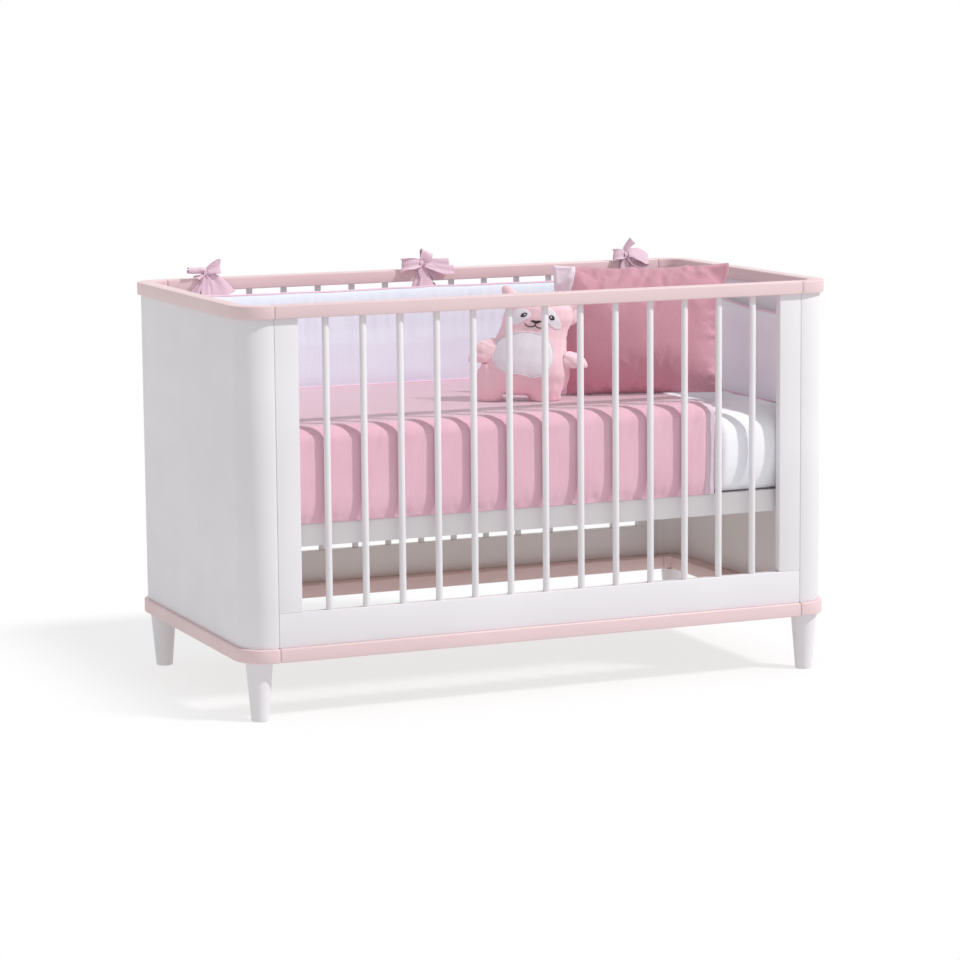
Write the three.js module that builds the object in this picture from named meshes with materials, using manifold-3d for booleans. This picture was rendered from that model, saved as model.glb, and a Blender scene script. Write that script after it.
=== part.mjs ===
// A toddler bed with slatted sides, bent end panels, a plinth on turned legs and its bedding.
// Millimetres, +Z up, X along the bed, the front side at -Y, the origin on the floor under the middle.
import * as THREE from 'three';
import { mergeVertices } from 'three/addons/utils/BufferGeometryUtils.js';
import Module from 'manifold-3d';

const wasm = await Module();
wasm.setup();

// Driving dimensions: the bed is built round its mattress
const mattressLength = 1200;
const mattressWidth = 600;
const mattressThickness = 175;
const mattressEndGap = 24.5;
const mattressSideGap = 28;
const railTopHeight = 820;
const cornerRadius = 66;
const endReach = 75;
const overhang = 7.5;
const seamGap = 0.5;

// Plinth and legs
const legHeight = 120;
const legTopDiameter = 55;
const legFootDiameter = 35;
const legFootRounding = 3;
const legInset = 45;
const plinthThickness = 28;
const plinthWidth = 60;

// Top rail
const railThickness = 26;
const railWidth = 33;

// Panels, boards, stiles and slats
const panelThickness = 18;
const boardHeight = 68.5;
const stileWidth = 48.5;
const slatCount = 13;
const slatDiameter = 14;
const slatEndGap = 52.7;

// Mattress base
const baseHeight = 44.5;
const baseLevel = 341.5;
const baseSideClearance = 10;
const baseWall = 22;
const baseLedgeWidth = 20;
const baseLedgeThickness = 14;
const deckThickness = 16;
const deckSlotWidth = 34;
const deckSlotCount = 11;
const deckEdge = 48;
const fitGap = 0.3;

// Mattress and coverlet
const mattressCornerRadius = 44;
const mattressEdgeRadius = 38;
const mattressCrown = 6;
const mattressBulge = 5;
const coverletThickness = 17;
const coverletEndGap = 212;
const coverletHemGap = 3;
const coverletFold = 2.5;
const coverletFoldPitch = 118;
const restGap = 0.5;

// Bumper pad
const bumperTopGap = 11.2;
const bumperThickness = 42;
const bumperWallGap = 1.5;
const bumperFrontGap = 43;
const bumperEndDrop = 42;
const bumperDropShare = 1.25;
const bumperStep = 22;
const bumperInnerRadius = 22;

// Tie bows
const tieWidth = 22;
const tieThickness = 2;
const tieGap = 0.6;
const knotRadius = 11;
const bowLoopLength = 38;
const bowLoopHeight = 22;
const bowTailLength = 40;
const bowPlaceShares = [-6.35, 0.26, 6.35];

// Cushion
const cushionWidth = 364;
const cushionHeight = 271;
const cushionThickness = 118;
const cushionPull = 12;
const cushionLean = THREE.MathUtils.degToRad(6);
const cushionTurn = THREE.MathUtils.degToRad(-19);
const cushionEndGap = 279;
const cushionFrontGap = 182;

// Stuffed animal
const toyHeight = 222;
const toyWidth = 168;
const toyDepth = 98;
const toyLegLength = 78;
const toyLegWidth = 50;
const toyArmLength = 62;
const toyArmWidth = 34;
const toyEarLength = 52;
const toyEarWidth = 29;
const toyTurn = THREE.MathUtils.degToRad(-23);
const toyLean = THREE.MathUtils.degToRad(4);
const toySpacing = 275;
const toyFrontGap = 182;
const headShiftShare = 0.14;
const earSpreadShare = 0.27;
const earHeightShare = 0.83;
const earTiltShare = 0.03;
const earDepthShare = 0.6;
const legDepthShare = 1.12;
const legInsetShare = 0.76;
const legShiftShare = -0.065;
const legForwardShare = 0.08;
const armDepthShare = 0.9;
const armSpreadShare = 0.34;
const armForwardShare = 0.1;
const armHeightShare = 0.44;

// Counts of faces round the curved pieces
const cornerSteps = 9;
const slatSides = 14;
const legSides = 20;

// Heights and places that follow from the sizes above
const plinthTop = legHeight + plinthThickness;
const boardTop = plinthTop + boardHeight;
const railBottom = railTopHeight - railThickness;
const bedLength = mattressLength + 2 * (mattressEndGap + panelThickness + overhang);
const bedDepth = mattressWidth + 2 * (mattressSideGap + panelThickness + overhang);
const seamX = bedLength / 2 - endReach;
const panelOuterX = bedLength / 2 - overhang;
const panelOuterY = bedDepth / 2 - overhang;
const panelRadius = cornerRadius - overhang;
const panelInnerX = panelOuterX - panelThickness;
const panelInnerY = panelOuterY - panelThickness;
const panelInnerRadius = panelRadius - panelThickness;
const wallMiddleY = panelOuterY - panelThickness / 2;
const lastSlatX = seamX - stileWidth - slatEndGap - slatDiameter / 2;
const slatPitch = (2 * lastSlatX) / (slatCount - 1);
const baseTop = baseLevel + baseHeight;
const baseHalfLength = panelInnerX - fitGap;
const baseHalfWidth = panelInnerY - baseSideClearance;
const mattressTop = baseTop + mattressThickness;
const coverletTop = mattressTop + fitGap + coverletThickness;
const coverletRightEdge = mattressLength / 2 - coverletEndGap;
const bumperTop = railBottom - bumperTopGap;
const bumperFrontEnd = panelInnerY - bumperFrontGap;
const bowPlaces = bowPlaceShares.map((share) => share * slatPitch);
const cushionPlaceX = mattressLength / 2 - cushionEndGap;
const cushionPlaceY = cushionFrontGap - mattressWidth / 2;
const toyPlaceX = cushionPlaceX - toySpacing;
const toyPlaceY = toyFrontGap - mattressWidth / 2;

const finishes = {
  pinkLacquer: new THREE.MeshStandardMaterial({ color: 0xe6cccb, roughness: 0.5, metalness: 0 }),
  whiteLacquer: new THREE.MeshStandardMaterial({ color: 0xeeecf0, roughness: 0.45, metalness: 0 }),
  paleBase: new THREE.MeshStandardMaterial({ color: 0xd6d3d2, roughness: 0.6, metalness: 0 }),
  plywood: new THREE.MeshStandardMaterial({ color: 0xc9a777, roughness: 0.7, metalness: 0 }),
  whiteCotton: new THREE.MeshStandardMaterial({ color: 0xf0eff6, roughness: 0.9, metalness: 0 }),
  pinkLinen: new THREE.MeshStandardMaterial({ color: 0xdb98a8, roughness: 0.92, metalness: 0 }),
  lilacCotton: new THREE.MeshStandardMaterial({ color: 0xe9e0ee, roughness: 0.9, metalness: 0 }),
  checkedCotton: new THREE.MeshStandardMaterial({ color: 0xe7bccb, roughness: 0.9, metalness: 0 }),
  toyCotton: new THREE.MeshStandardMaterial({ color: 0xe3a6b3, roughness: 0.92, metalness: 0 }),
};

const bed = new THREE.Group();

/** Adds one named piece to a group and gives it back. */
function piece(name, geometry, finish, group = bed) {
  const mesh = new THREE.Mesh(geometry, finish.clone());
  mesh.name = name;
  group.add(mesh);
  return mesh;
}

/** Points of an arc, both ends included. */
function arc(centreX, centreY, radius, from, to, steps) {
  const points = [];
  for (let i = 0; i <= steps; i += 1) {
    const angle = from + ((to - from) * i) / steps;
    points.push(new THREE.Vector2(centreX + radius * Math.cos(angle), centreY + radius * Math.sin(angle)));
  }
  return points;
}

/** Raises a flat outline, with any holes, from one height to another. */
function raise(points, low, high, holes = []) {
  const shape = new THREE.Shape(points);
  holes.forEach((hole) => shape.holes.push(new THREE.Path(hole)));
  const geometry = new THREE.ExtrudeGeometry(shape, { depth: high - low, bevelEnabled: false });
  return geometry.translate(0, 0, low);
}

/** A box between two corners. */
function block(x0, x1, y0, y1, z0, z1) {
  const geometry = new THREE.BoxGeometry(x1 - x0, y1 - y0, z1 - z0);
  return geometry.translate((x0 + x1) / 2, (y0 + y1) / 2, (z0 + z1) / 2);
}

/** Turns a closed mesh into a solid that can be cut and joined. */
function toSolid(geometry) {
  const bare = geometry.index ? geometry.toNonIndexed() : geometry.clone();
  bare.deleteAttribute('normal');
  bare.deleteAttribute('uv');
  const merged = mergeVertices(bare);
  const vertProperties = new Float32Array(merged.attributes.position.array);
  const triVerts = new Uint32Array(merged.index.array);
  return new wasm.Manifold(new wasm.Mesh({ numProp: 3, vertProperties, triVerts }));
}

/** Turns a solid back into a mesh. */
function toGeometry(solid) {
  const mesh = solid.getMesh();
  const geometry = new THREE.BufferGeometry();
  geometry.setAttribute('position', new THREE.BufferAttribute(new Float32Array(mesh.vertProperties), 3));
  geometry.setIndex(new THREE.BufferAttribute(new Uint32Array(mesh.triVerts), 1));
  return geometry;
}

/** Triangles that close a flat ring of points, as index triples that face along the ring's own normal. */
function capTriangles(ring) {
  const normal = new THREE.Vector3();
  ring.forEach((point, i) => {
    const next = ring[(i + 1) % ring.length];
    normal.add(new THREE.Vector3().crossVectors(point, next));
  });
  normal.normalize();
  const across = new THREE.Vector3().subVectors(ring[1], ring[0]).normalize();
  const up = new THREE.Vector3().crossVectors(normal, across);
  const flat = ring.map((point) => new THREE.Vector2(point.dot(across), point.dot(up)));
  return THREE.ShapeUtils.triangulateShape(flat, []);
}

/** Joins closed rings of points into a closed skin, with a flat cap at each end. */
function skin(rings) {
  const positions = [];
  const triangle = (a, b, c) => positions.push(...a.toArray(), ...b.toArray(), ...c.toArray());
  for (let r = 0; r < rings.length - 1; r += 1) {
    const near = rings[r];
    const far = rings[r + 1];
    for (let i = 0; i < near.length; i += 1) {
      const j = (i + 1) % near.length;
      triangle(near[i], near[j], far[j]);
      triangle(near[i], far[j], far[i]);
    }
  }
  const first = rings[0];
  const last = rings[rings.length - 1];
  capTriangles(first).forEach(([a, b, c]) => triangle(first[c], first[b], first[a]));
  capTriangles(last).forEach(([a, b, c]) => triangle(last[a], last[b], last[c]));
  const geometry = new THREE.BufferGeometry();
  geometry.setAttribute('position', new THREE.Float32BufferAttribute(positions, 3));
  return geometry;
}

/** A closed rounded outline in plan: a rectangle with arcs at its four corners. */
function roundedRectangle(halfX, halfY, radius, steps) {
  const x = halfX - radius;
  const y = halfY - radius;
  const quarter = Math.PI / 2;
  return [
    ...arc(x, y, radius, 0, quarter, steps),
    ...arc(-x, y, radius, quarter, 2 * quarter, steps),
    ...arc(-x, -y, radius, 2 * quarter, 3 * quarter, steps),
    ...arc(x, -y, radius, 3 * quarter, 4 * quarter, steps),
  ];
}

/** The U-shaped plan of an end piece: both corners rounded, both ends cut square at the seam. */
function endOutline(side, outerX, outerY, radius, width) {
  const quarter = Math.PI / 2;
  const inner = radius - width;
  const seam = seamX + seamGap / 2;
  const x = outerX - radius;
  const y = outerY - radius;
  const points = [
    new THREE.Vector2(seam, -outerY),
    ...arc(x, -y, radius, -quarter, 0, cornerSteps),
    ...arc(x, y, radius, 0, quarter, cornerSteps),
    new THREE.Vector2(seam, outerY),
    new THREE.Vector2(seam, outerY - width),
    ...arc(x, y, inner, quarter, 0, cornerSteps),
    ...arc(x, -y, inner, 0, -quarter, cornerSteps),
    new THREE.Vector2(seam, -outerY + width),
  ];
  return points.map((p) => new THREE.Vector2(side * p.x, p.y));
}

const ends = [['left', -1], ['right', 1]];
const sides = [['front', -1], ['back', 1]];

/** The pink frame at the bottom: two bent ends and two straight rails. */
function makePlinth() {
  const halfY = bedDepth / 2;
  for (const [name, side] of ends) {
    const outline = endOutline(side, bedLength / 2, halfY, cornerRadius, plinthWidth);
    piece(`plinth_${name}_end`, raise(outline, legHeight, plinthTop), finishes.pinkLacquer);
  }
  const reach = seamX - seamGap / 2;
  for (const [name, side] of sides) {
    const edges = [side * halfY, side * (halfY - plinthWidth)].sort((a, b) => a - b);
    const rail = block(-reach, reach, edges[0], edges[1], legHeight, plinthTop);
    piece(`plinth_${name}_rail`, rail, finishes.pinkLacquer);
  }
}

/** Four turned legs, wide at the plinth and narrow at the floor. */
function makeLegs() {
  const topRadius = legTopDiameter / 2;
  const footRadius = legFootDiameter / 2;
  const profile = [
    new THREE.Vector2(0, 0),
    new THREE.Vector2(footRadius - legFootRounding, 0),
    new THREE.Vector2(footRadius, legFootRounding),
    new THREE.Vector2(topRadius, legHeight),
    new THREE.Vector2(0, legHeight),
  ];
  for (const [endName, endSide] of ends) {
    for (const [sideName, side] of sides) {
      const leg = new THREE.LatheGeometry(profile, legSides);
      leg.rotateX(Math.PI / 2);
      leg.translate(endSide * (bedLength / 2 - legInset), side * (bedDepth / 2 - legInset), 0);
      piece(`leg_${sideName}_${endName}`, leg, finishes.whiteLacquer);
    }
  }
}

/** Two bent end panels, and on each long side a lower board, two stiles and a row of slats. */
function makeWalls() {
  for (const [name, side] of ends) {
    const outline = endOutline(side, panelOuterX, panelOuterY, panelRadius, panelThickness);
    piece(`end_panel_${name}`, raise(outline, plinthTop, railBottom), finishes.whiteLacquer);
  }
  const reach = seamX - seamGap / 2;
  for (const [name, side] of sides) {
    const near = side > 0 ? panelInnerY : -panelOuterY;
    const far = near + panelThickness;
    piece(`lower_board_${name}`, block(-reach, reach, near, far, plinthTop, boardTop), finishes.whiteLacquer);
    for (const [endName, endSide] of ends) {
      const x = endSide > 0 ? reach - stileWidth : -reach;
      const stile = block(x, x + stileWidth, near, far, boardTop, railBottom);
      piece(`stile_${name}_${endName}`, stile, finishes.whiteLacquer);
    }
    for (let i = 0; i < slatCount; i += 1) {
      const slat = new THREE.CylinderGeometry(
        slatDiameter / 2, slatDiameter / 2, railBottom - boardTop, slatSides);
      slat.rotateX(Math.PI / 2);
      slat.translate(i * slatPitch - lastSlatX, side * wallMiddleY, (railBottom + boardTop) / 2);
      piece(`slat_${name}_${i + 1}`, slat, finishes.whiteLacquer);
    }
  }
}

/** The pink rail on top of the walls. */
function makeTopRail() {
  const halfY = bedDepth / 2;
  for (const [name, side] of ends) {
    const outline = endOutline(side, bedLength / 2, halfY, cornerRadius, railWidth);
    piece(`top_rail_${name}_end`, raise(outline, railBottom, railTopHeight), finishes.pinkLacquer);
  }
  const reach = seamX - seamGap / 2;
  for (const [name, side] of sides) {
    const near = side > 0 ? halfY - railWidth : -halfY;
    const rail = block(-reach, reach, near, near + railWidth, railBottom, railTopHeight);
    piece(`top_rail_${name}`, rail, finishes.pinkLacquer);
  }
}

/** The base that the mattress lies on: a frame with an inner ledge, and a slotted deck on the ledge. */
function makeBase() {
  const radius = panelInnerRadius - fitGap;
  const outer = roundedRectangle(baseHalfLength, baseHalfWidth, radius, cornerSteps);
  const wallHoleX = baseHalfLength - baseWall;
  const wallHoleY = baseHalfWidth - baseWall;
  const wallRadius = radius - baseWall;
  const wallHole = roundedRectangle(wallHoleX, wallHoleY, wallRadius, cornerSteps);
  const ledgeHole = roundedRectangle(
    wallHoleX - baseLedgeWidth, wallHoleY - baseLedgeWidth, wallRadius, cornerSteps);
  const deckLevel = baseTop - deckThickness;
  const ledgeLow = deckLevel - baseLedgeThickness;
  const wall = toSolid(raise(outer, baseLevel, baseTop, [wallHole]));
  const ledge = toSolid(raise(outer, ledgeLow, deckLevel, [ledgeHole]));
  piece('base_frame', toGeometry(wall.add(ledge)), finishes.paleBase);

  const deckX = wallHoleX - fitGap;
  const deckY = wallHoleY - fitGap;
  const deck = roundedRectangle(deckX, deckY, wallRadius - fitGap, cornerSteps);
  const slots = [];
  const pitch = (2 * deckX) / (deckSlotCount + 1);
  for (let i = 0; i < deckSlotCount; i += 1) {
    const x = (i - (deckSlotCount - 1) / 2) * pitch;
    slots.push(roundedRectangle(deckSlotWidth / 2, deckY - deckEdge, deckSlotWidth / 2, 2)
      .map((p) => new THREE.Vector2(p.x + x, p.y)));
  }
  piece('base_deck', raise(deck, deckLevel, baseTop, slots), finishes.plywood);
}

/** Height and draw-in of the mattress's skin, from its underside round the edge to the crown. */
function mattressSteps() {
  const steps = [];
  const low = baseTop + fitGap;
  const high = mattressTop - mattressCrown;
  const edge = mattressEdgeRadius;
  for (let i = 0; i <= 4; i += 1) {
    const angle = (i / 4) * (Math.PI / 2);
    steps.push([low + edge * (1 - Math.cos(angle)), edge * (1 - Math.sin(angle))]);
  }
  for (let i = 0; i <= 5; i += 1) {
    const angle = (i / 5) * (Math.PI / 2);
    steps.push([high - edge * (1 - Math.sin(angle)), edge * (1 - Math.cos(angle))]);
  }
  return steps;
}

/** The mattress in its fitted sheet: puffed sides, round edges and a low crown. */
function makeMattress() {
  const rings = [];
  const halfX = mattressLength / 2 - mattressBulge;
  const halfY = mattressWidth / 2 - mattressBulge;
  const low = baseTop + fitGap;
  for (const [height, drawIn] of mattressSteps()) {
    const share = (height - low) / (mattressTop - low);
    const puff = mattressBulge * Math.sin(Math.PI * Math.min(1, share));
    const radius = Math.max(mattressCornerRadius - drawIn / 2, mattressCornerRadius / 2);
    const plan = roundedRectangle(halfX + puff - drawIn, halfY + puff - drawIn, radius, 6);
    rings.push(plan.map((p) => new THREE.Vector3(p.x, p.y, height)));
  }
  const crownShares = [[0.3, 0.55], [0.6, 0.85], [0.85, 0.98]];
  for (const [inShare, riseShare] of crownShares) {
    const drawIn = mattressEdgeRadius + inShare * (halfY - mattressEdgeRadius);
    const height = mattressTop - mattressCrown * (1 - riseShare);
    const plan = roundedRectangle(halfX - drawIn, halfY - drawIn, mattressCornerRadius / 4, 6);
    rings.push(plan.map((p) => new THREE.Vector3(p.x, p.y, height)));
  }
  piece('mattress', skin(rings), finishes.whiteCotton);
}

/** One cut across the coverlet: flat on top, rolled over the front edge and hanging to its hem. */
function coverletSection(x) {
  const inner = mattressWidth / 2 + fitGap;
  const under = mattressTop + fitGap;
  const hem = baseTop + coverletHemGap;
  const outerRadius = mattressEdgeRadius + coverletThickness;
  const outerY = inner + coverletThickness;
  const wave = Math.sin((2 * Math.PI * x) / coverletFoldPitch);
  const points = [];
  const add = (y, z) => points.push(new THREE.Vector3(x, y, z));
  const steps = 5;
  // Outside, from the back edge over the top and down the front
  add(inner - restGap, under);
  add(inner - restGap, coverletTop - coverletThickness / 3);
  add(inner - coverletThickness / 2, coverletTop);
  add(0, coverletTop);
  for (const point of arc(-(outerY - outerRadius), coverletTop - outerRadius, outerRadius,
    Math.PI / 2, Math.PI, steps)) {
    add(point.x, point.y);
  }
  const drop = coverletTop - outerRadius - hem;
  const dropShares = [0.3, 0.6, 0.85];
  for (const share of dropShares) {
    const ripple = coverletFold * share * wave;
    add(-(outerY + ripple), coverletTop - outerRadius - share * drop);
  }
  add(-(outerY - coverletThickness / 3 + coverletFold * wave), hem);
  add(-(inner + fitGap), hem);
  // Inside, back up the mattress's side and under the top
  add(-(inner + fitGap), under - mattressEdgeRadius);
  const innerArc = arc(-(inner - mattressEdgeRadius), under - mattressEdgeRadius, mattressEdgeRadius,
    Math.PI, Math.PI / 2, steps);
  innerArc.slice(1).forEach((point) => add(point.x, point.y));
  add(0, under);
  return points;
}

/** The coverlet over the left part of the mattress, with soft folds down its front. */
function makeCoverlet() {
  const left = -(mattressLength / 2 - restGap);
  const count = 26;
  const rings = [];
  for (let i = 0; i <= count; i += 1) {
    rings.push(coverletSection(left + ((coverletRightEdge - left) * i) / count));
  }
  piece('coverlet', skin(rings), finishes.pinkLinen);
}

/** Middle line of the bumper in plan: up one end, round both back corners and down the other end. */
function bumperPath() {
  const half = bumperThickness / 2;
  const x = panelInnerX - bumperWallGap - half;
  const y = panelInnerY - bumperWallGap - half;
  const radius = bumperInnerRadius + half;
  const quarter = Math.PI / 2;
  const path = [];
  const endSteps = 5;
  const along = (from, to, steps) => {
    for (let i = 0; i < steps; i += 1) {
      path.push(new THREE.Vector2().lerpVectors(from, to, i / steps));
    }
  };
  along(new THREE.Vector2(-x, -bumperFrontEnd), new THREE.Vector2(-x, y - radius), endSteps);
  path.push(...arc(-x + radius, y - radius, radius, 2 * quarter, quarter, 5).slice(0, -1));
  const edge = new THREE.Vector2(coverletRightEdge + restGap, y);
  const beyond = new THREE.Vector2(edge.x + bumperStep, y);
  along(new THREE.Vector2(-x + radius, y), edge, 11);
  along(edge, beyond, 1);
  along(beyond, new THREE.Vector2(x - radius, y), 2);
  path.push(...arc(x - radius, y - radius, radius, quarter, 0, 5).slice(0, -1));
  along(new THREE.Vector2(x, y - radius), new THREE.Vector2(x, -bumperFrontEnd), endSteps);
  path.push(new THREE.Vector2(x, -bumperFrontEnd));
  return path;
}

/** The padded U along the back and both ends, swollen at its middle and thin at its sewn edges. */
function makeBumper() {
  const path = bumperPath();
  const backY = Math.max(...path.map((p) => p.y));
  const widthShares = [[0, 0.3], [0.06, 0.72], [0.22, 0.96], [0.5, 1], [0.8, 0.9], [0.95, 0.55], [1, 0.2]];
  const rings = path.map((point, i) => {
    const before = path[Math.max(i - 1, 0)];
    const after = path[Math.min(i + 1, path.length - 1)];
    const along = new THREE.Vector2().subVectors(after, before).normalize();
    const across = new THREE.Vector2(-along.y, along.x);
    const forward = (backY - point.y) / (backY + bumperFrontEnd);
    const dropShare = Math.min(1, bumperDropShare * forward);
    const support = point.x > coverletRightEdge + bumperStep / 2 ? mattressTop - mattressCrown : coverletTop;
    const bottom = support + restGap;
    const height = bumperTop - bumperEndDrop * Math.sin((dropShare * Math.PI) / 2) - bottom;
    const isEnd = i === 0 || i === path.length - 1;
    const swell = (isEnd ? 0.5 : 1) * (bumperThickness / 2);
    const ring = [];
    for (const [heightShare, widthShare] of widthShares) {
      const offset = across.clone().multiplyScalar(-swell * widthShare);
      ring.push(new THREE.Vector3(point.x + offset.x, point.y + offset.y, bottom + heightShare * height));
    }
    for (const [heightShare, widthShare] of [...widthShares].reverse()) {
      const offset = across.clone().multiplyScalar(swell * widthShare);
      ring.push(new THREE.Vector3(point.x + offset.x, point.y + offset.y, bottom + heightShare * height));
    }
    return ring;
  });
  piece('bumper', skin(rings.reverse()), finishes.lilacCotton);
}

/** A ribbon's loop seen from the front: a drop shape with a hole, raised to the ribbon's width. */
function bowLoop() {
  const outer = [];
  const inner = [];
  const steps = 12;
  for (let i = 0; i < steps; i += 1) {
    const angle = Math.PI + (2 * Math.PI * i) / steps;
    const share = (1 + Math.cos(angle)) / 2;
    const swell = Math.sin(angle) * (0.35 + 0.65 * share);
    outer.push(new THREE.Vector2(share * bowLoopLength, (swell * bowLoopHeight) / 2));
    const innerLength = bowLoopLength - 2 * tieThickness;
    const innerHeight = bowLoopHeight / 2 - tieThickness;
    inner.push(new THREE.Vector2(tieThickness + share * innerLength, swell * innerHeight));
  }
  const loop = raise(outer, -tieWidth / 2, tieWidth / 2, [inner]);
  return loop.rotateX(Math.PI / 2);
}

/** A ribbon's free end: a thin strip that hangs from the knot. */
function bowTail() {
  const half = tieThickness / 2;
  const shape = [
    new THREE.Vector2(0, -half),
    new THREE.Vector2(bowTailLength / 2, -half - bowTailLength / 8),
    new THREE.Vector2(bowTailLength, -half),
    new THREE.Vector2(bowTailLength, half),
    new THREE.Vector2(bowTailLength / 2, half - bowTailLength / 8),
    new THREE.Vector2(0, half),
  ];
  const tail = raise(shape, -tieWidth / 2, tieWidth / 2);
  return tail.rotateX(Math.PI / 2);
}

/** Three fabric ties: each goes from the bumper's top edge round the back rail and ends in a bow. */
function makeBows() {
  const railNear = bedDepth / 2 - railWidth - tieGap;
  const railFar = bedDepth / 2 + tieGap;
  const low = railBottom - tieGap;
  const high = railTopHeight + tieGap;
  const bumperMiddleY = panelInnerY - bumperWallGap - bumperThickness / 2;
  const seat = bumperTop + tieGap;
  const thick = tieThickness;
  const outer = [
    new THREE.Vector2(bumperMiddleY, seat),
    new THREE.Vector2(railNear, low - thick),
    new THREE.Vector2(railFar + thick, low - thick),
    new THREE.Vector2(railFar + thick, high + thick),
    new THREE.Vector2(railNear - thick, high + thick),
    new THREE.Vector2(bumperMiddleY - thick, seat + thick),
  ];
  const inner = [
    new THREE.Vector2(bumperMiddleY + thick, seat + thick),
    new THREE.Vector2(railNear, low),
    new THREE.Vector2(railFar, low),
    new THREE.Vector2(railFar, high),
    new THREE.Vector2(railNear, high),
  ];
  const names = ['left', 'middle', 'right'];
  bowPlaces.forEach((place, i) => {
    const strap = raise(outer, -tieWidth / 2, tieWidth / 2, [inner]);
    strap.rotateX(Math.PI / 2).rotateZ(Math.PI / 2);
    const knotY = railNear + knotRadius / 2;
    const knotZ = high + knotRadius;
    const knot = new THREE.SphereGeometry(knotRadius, 12, 8);
    knot.scale(1, (tieWidth + tieThickness) / (2 * knotRadius), 1);
    const parts = [knot];
    for (const side of [-1, 1]) {
      const turn = side > 0 ? 0 : Math.PI;
      const loop = bowLoop();
      loop.rotateY(-THREE.MathUtils.degToRad(14)).rotateZ(turn);
      parts.push(loop);
      const tail = bowTail();
      tail.rotateY(THREE.MathUtils.degToRad(-8)).rotateZ(turn + side * THREE.MathUtils.degToRad(28));
      tail.translate(0, 0, -knotRadius / 4);
      parts.push(tail);
    }
    parts.forEach((part) => part.translate(place, knotY, knotZ));
    strap.translate(place, 0, 0);
    const bow = [...parts, strap].map((part) => toSolid(part)).reduce((sum, part) => sum.add(part));
    piece(`tie_bow_${names[i]}`, toGeometry(bow), finishes.checkedCotton);
  });
}

/** A cushion's skin: thick at its middle, sides pulled in between four pointed corners. */
function cushionGeometry() {
  const columns = 16;
  const rows = 12;
  const grid = (face) => {
    const points = [];
    for (let r = 0; r <= rows; r += 1) {
      for (let c = 0; c <= columns; c += 1) {
        const u = Math.sin(((c / columns) * 2 - 1) * (Math.PI / 2));
        const v = Math.sin(((r / rows) * 2 - 1) * (Math.PI / 2));
        const pullX = cushionPull * (1 - v * v);
        const pullZ = cushionPull * (1 - u * u);
        const x = u * (cushionWidth / 2 - pullX);
        const z = v * (cushionHeight / 2 - pullZ);
        const swell = Math.pow(Math.max(0, (1 - u ** 4) * (1 - v ** 4)), 0.42);
        points.push(new THREE.Vector3(x, (face * swell * cushionThickness) / 2, z));
      }
    }
    return points;
  };
  const front = grid(-1);
  const back = grid(1);
  const positions = [];
  const triangle = (a, b, c) => positions.push(...a.toArray(), ...b.toArray(), ...c.toArray());
  for (let r = 0; r < rows; r += 1) {
    for (let c = 0; c < columns; c += 1) {
      const i = r * (columns + 1) + c;
      const right = i + 1;
      const up = i + columns + 1;
      const both = up + 1;
      triangle(front[i], front[right], front[both]);
      triangle(front[i], front[both], front[up]);
      triangle(back[i], back[both], back[right]);
      triangle(back[i], back[up], back[both]);
    }
  }
  const geometry = new THREE.BufferGeometry();
  geometry.setAttribute('position', new THREE.Float32BufferAttribute(positions, 3));
  return geometry;
}

/** The cushion, standing on its long edge on the coverlet and leaning back a little. */
function makeCushion() {
  const geometry = cushionGeometry();
  geometry.rotateX(-cushionLean).rotateZ(cushionTurn);
  geometry.computeBoundingBox();
  const lift = coverletTop + restGap - geometry.boundingBox.min.z;
  geometry.translate(cushionPlaceX, cushionPlaceY, lift);
  piece('cushion', geometry, finishes.pinkLinen);
}

/** A swollen, tapering form along Z from rings of height, half width, half depth and sideways shift. */
function stuffed(rows, sidesRound, grow = 0) {
  const rings = rows.map(([height, halfWidth, halfDepth, shift]) => {
    const ring = [];
    for (let i = 0; i < sidesRound; i += 1) {
      const angle = (2 * Math.PI * i) / sidesRound;
      const x = shift + (halfWidth + grow) * Math.cos(angle);
      const y = (halfDepth + grow) * Math.sin(angle);
      ring.push(new THREE.Vector3(x, y, height));
    }
    return ring;
  });
  return skin(rings);
}

/** The stuffed animal's body with its head, before the ears are joined. */
function toyBody(grow) {
  const bodyShares = [
    [0.075, 0.46, 0.35, 0], [0.1, 0.72, 0.62, 0], [0.17, 0.9, 0.85, 0], [0.27, 1, 0.98, 0.01],
    [0.38, 1, 1, 0.02], [0.5, 0.93, 0.94, 0.045], [0.6, 0.85, 0.86, 0.075], [0.68, 0.83, 0.82, 0.1],
    [0.77, 0.85, 0.84, 0.125], [0.86, 0.8, 0.78, 0.145], [0.93, 0.64, 0.6, 0.16], [0.98, 0.36, 0.34, 0.17],
    [1, 0.12, 0.12, 0.17],
  ];
  const rows = bodyShares.map(([heightShare, widthShare, depthShare, shiftShare]) => [
    heightShare * toyHeight, (widthShare * toyWidth) / 2, (depthShare * toyDepth) / 2, shiftShare * toyWidth,
  ]);
  return stuffed(rows, 22, grow);
}

/** A limb or an ear: narrow at its root, swollen towards its round end. */
function toyLimb(length, width, depth) {
  const limbShares = [[0, 0.5], [0.12, 0.78], [0.35, 0.94], [0.6, 1], [0.8, 0.84], [0.94, 0.5], [1, 0.16]];
  const rows = limbShares.map(([lengthShare, widthShare]) => [
    lengthShare * length, (widthShare * width) / 2, (widthShare * depth) / 2, 0,
  ]);
  return stuffed(rows, 12);
}

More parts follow.
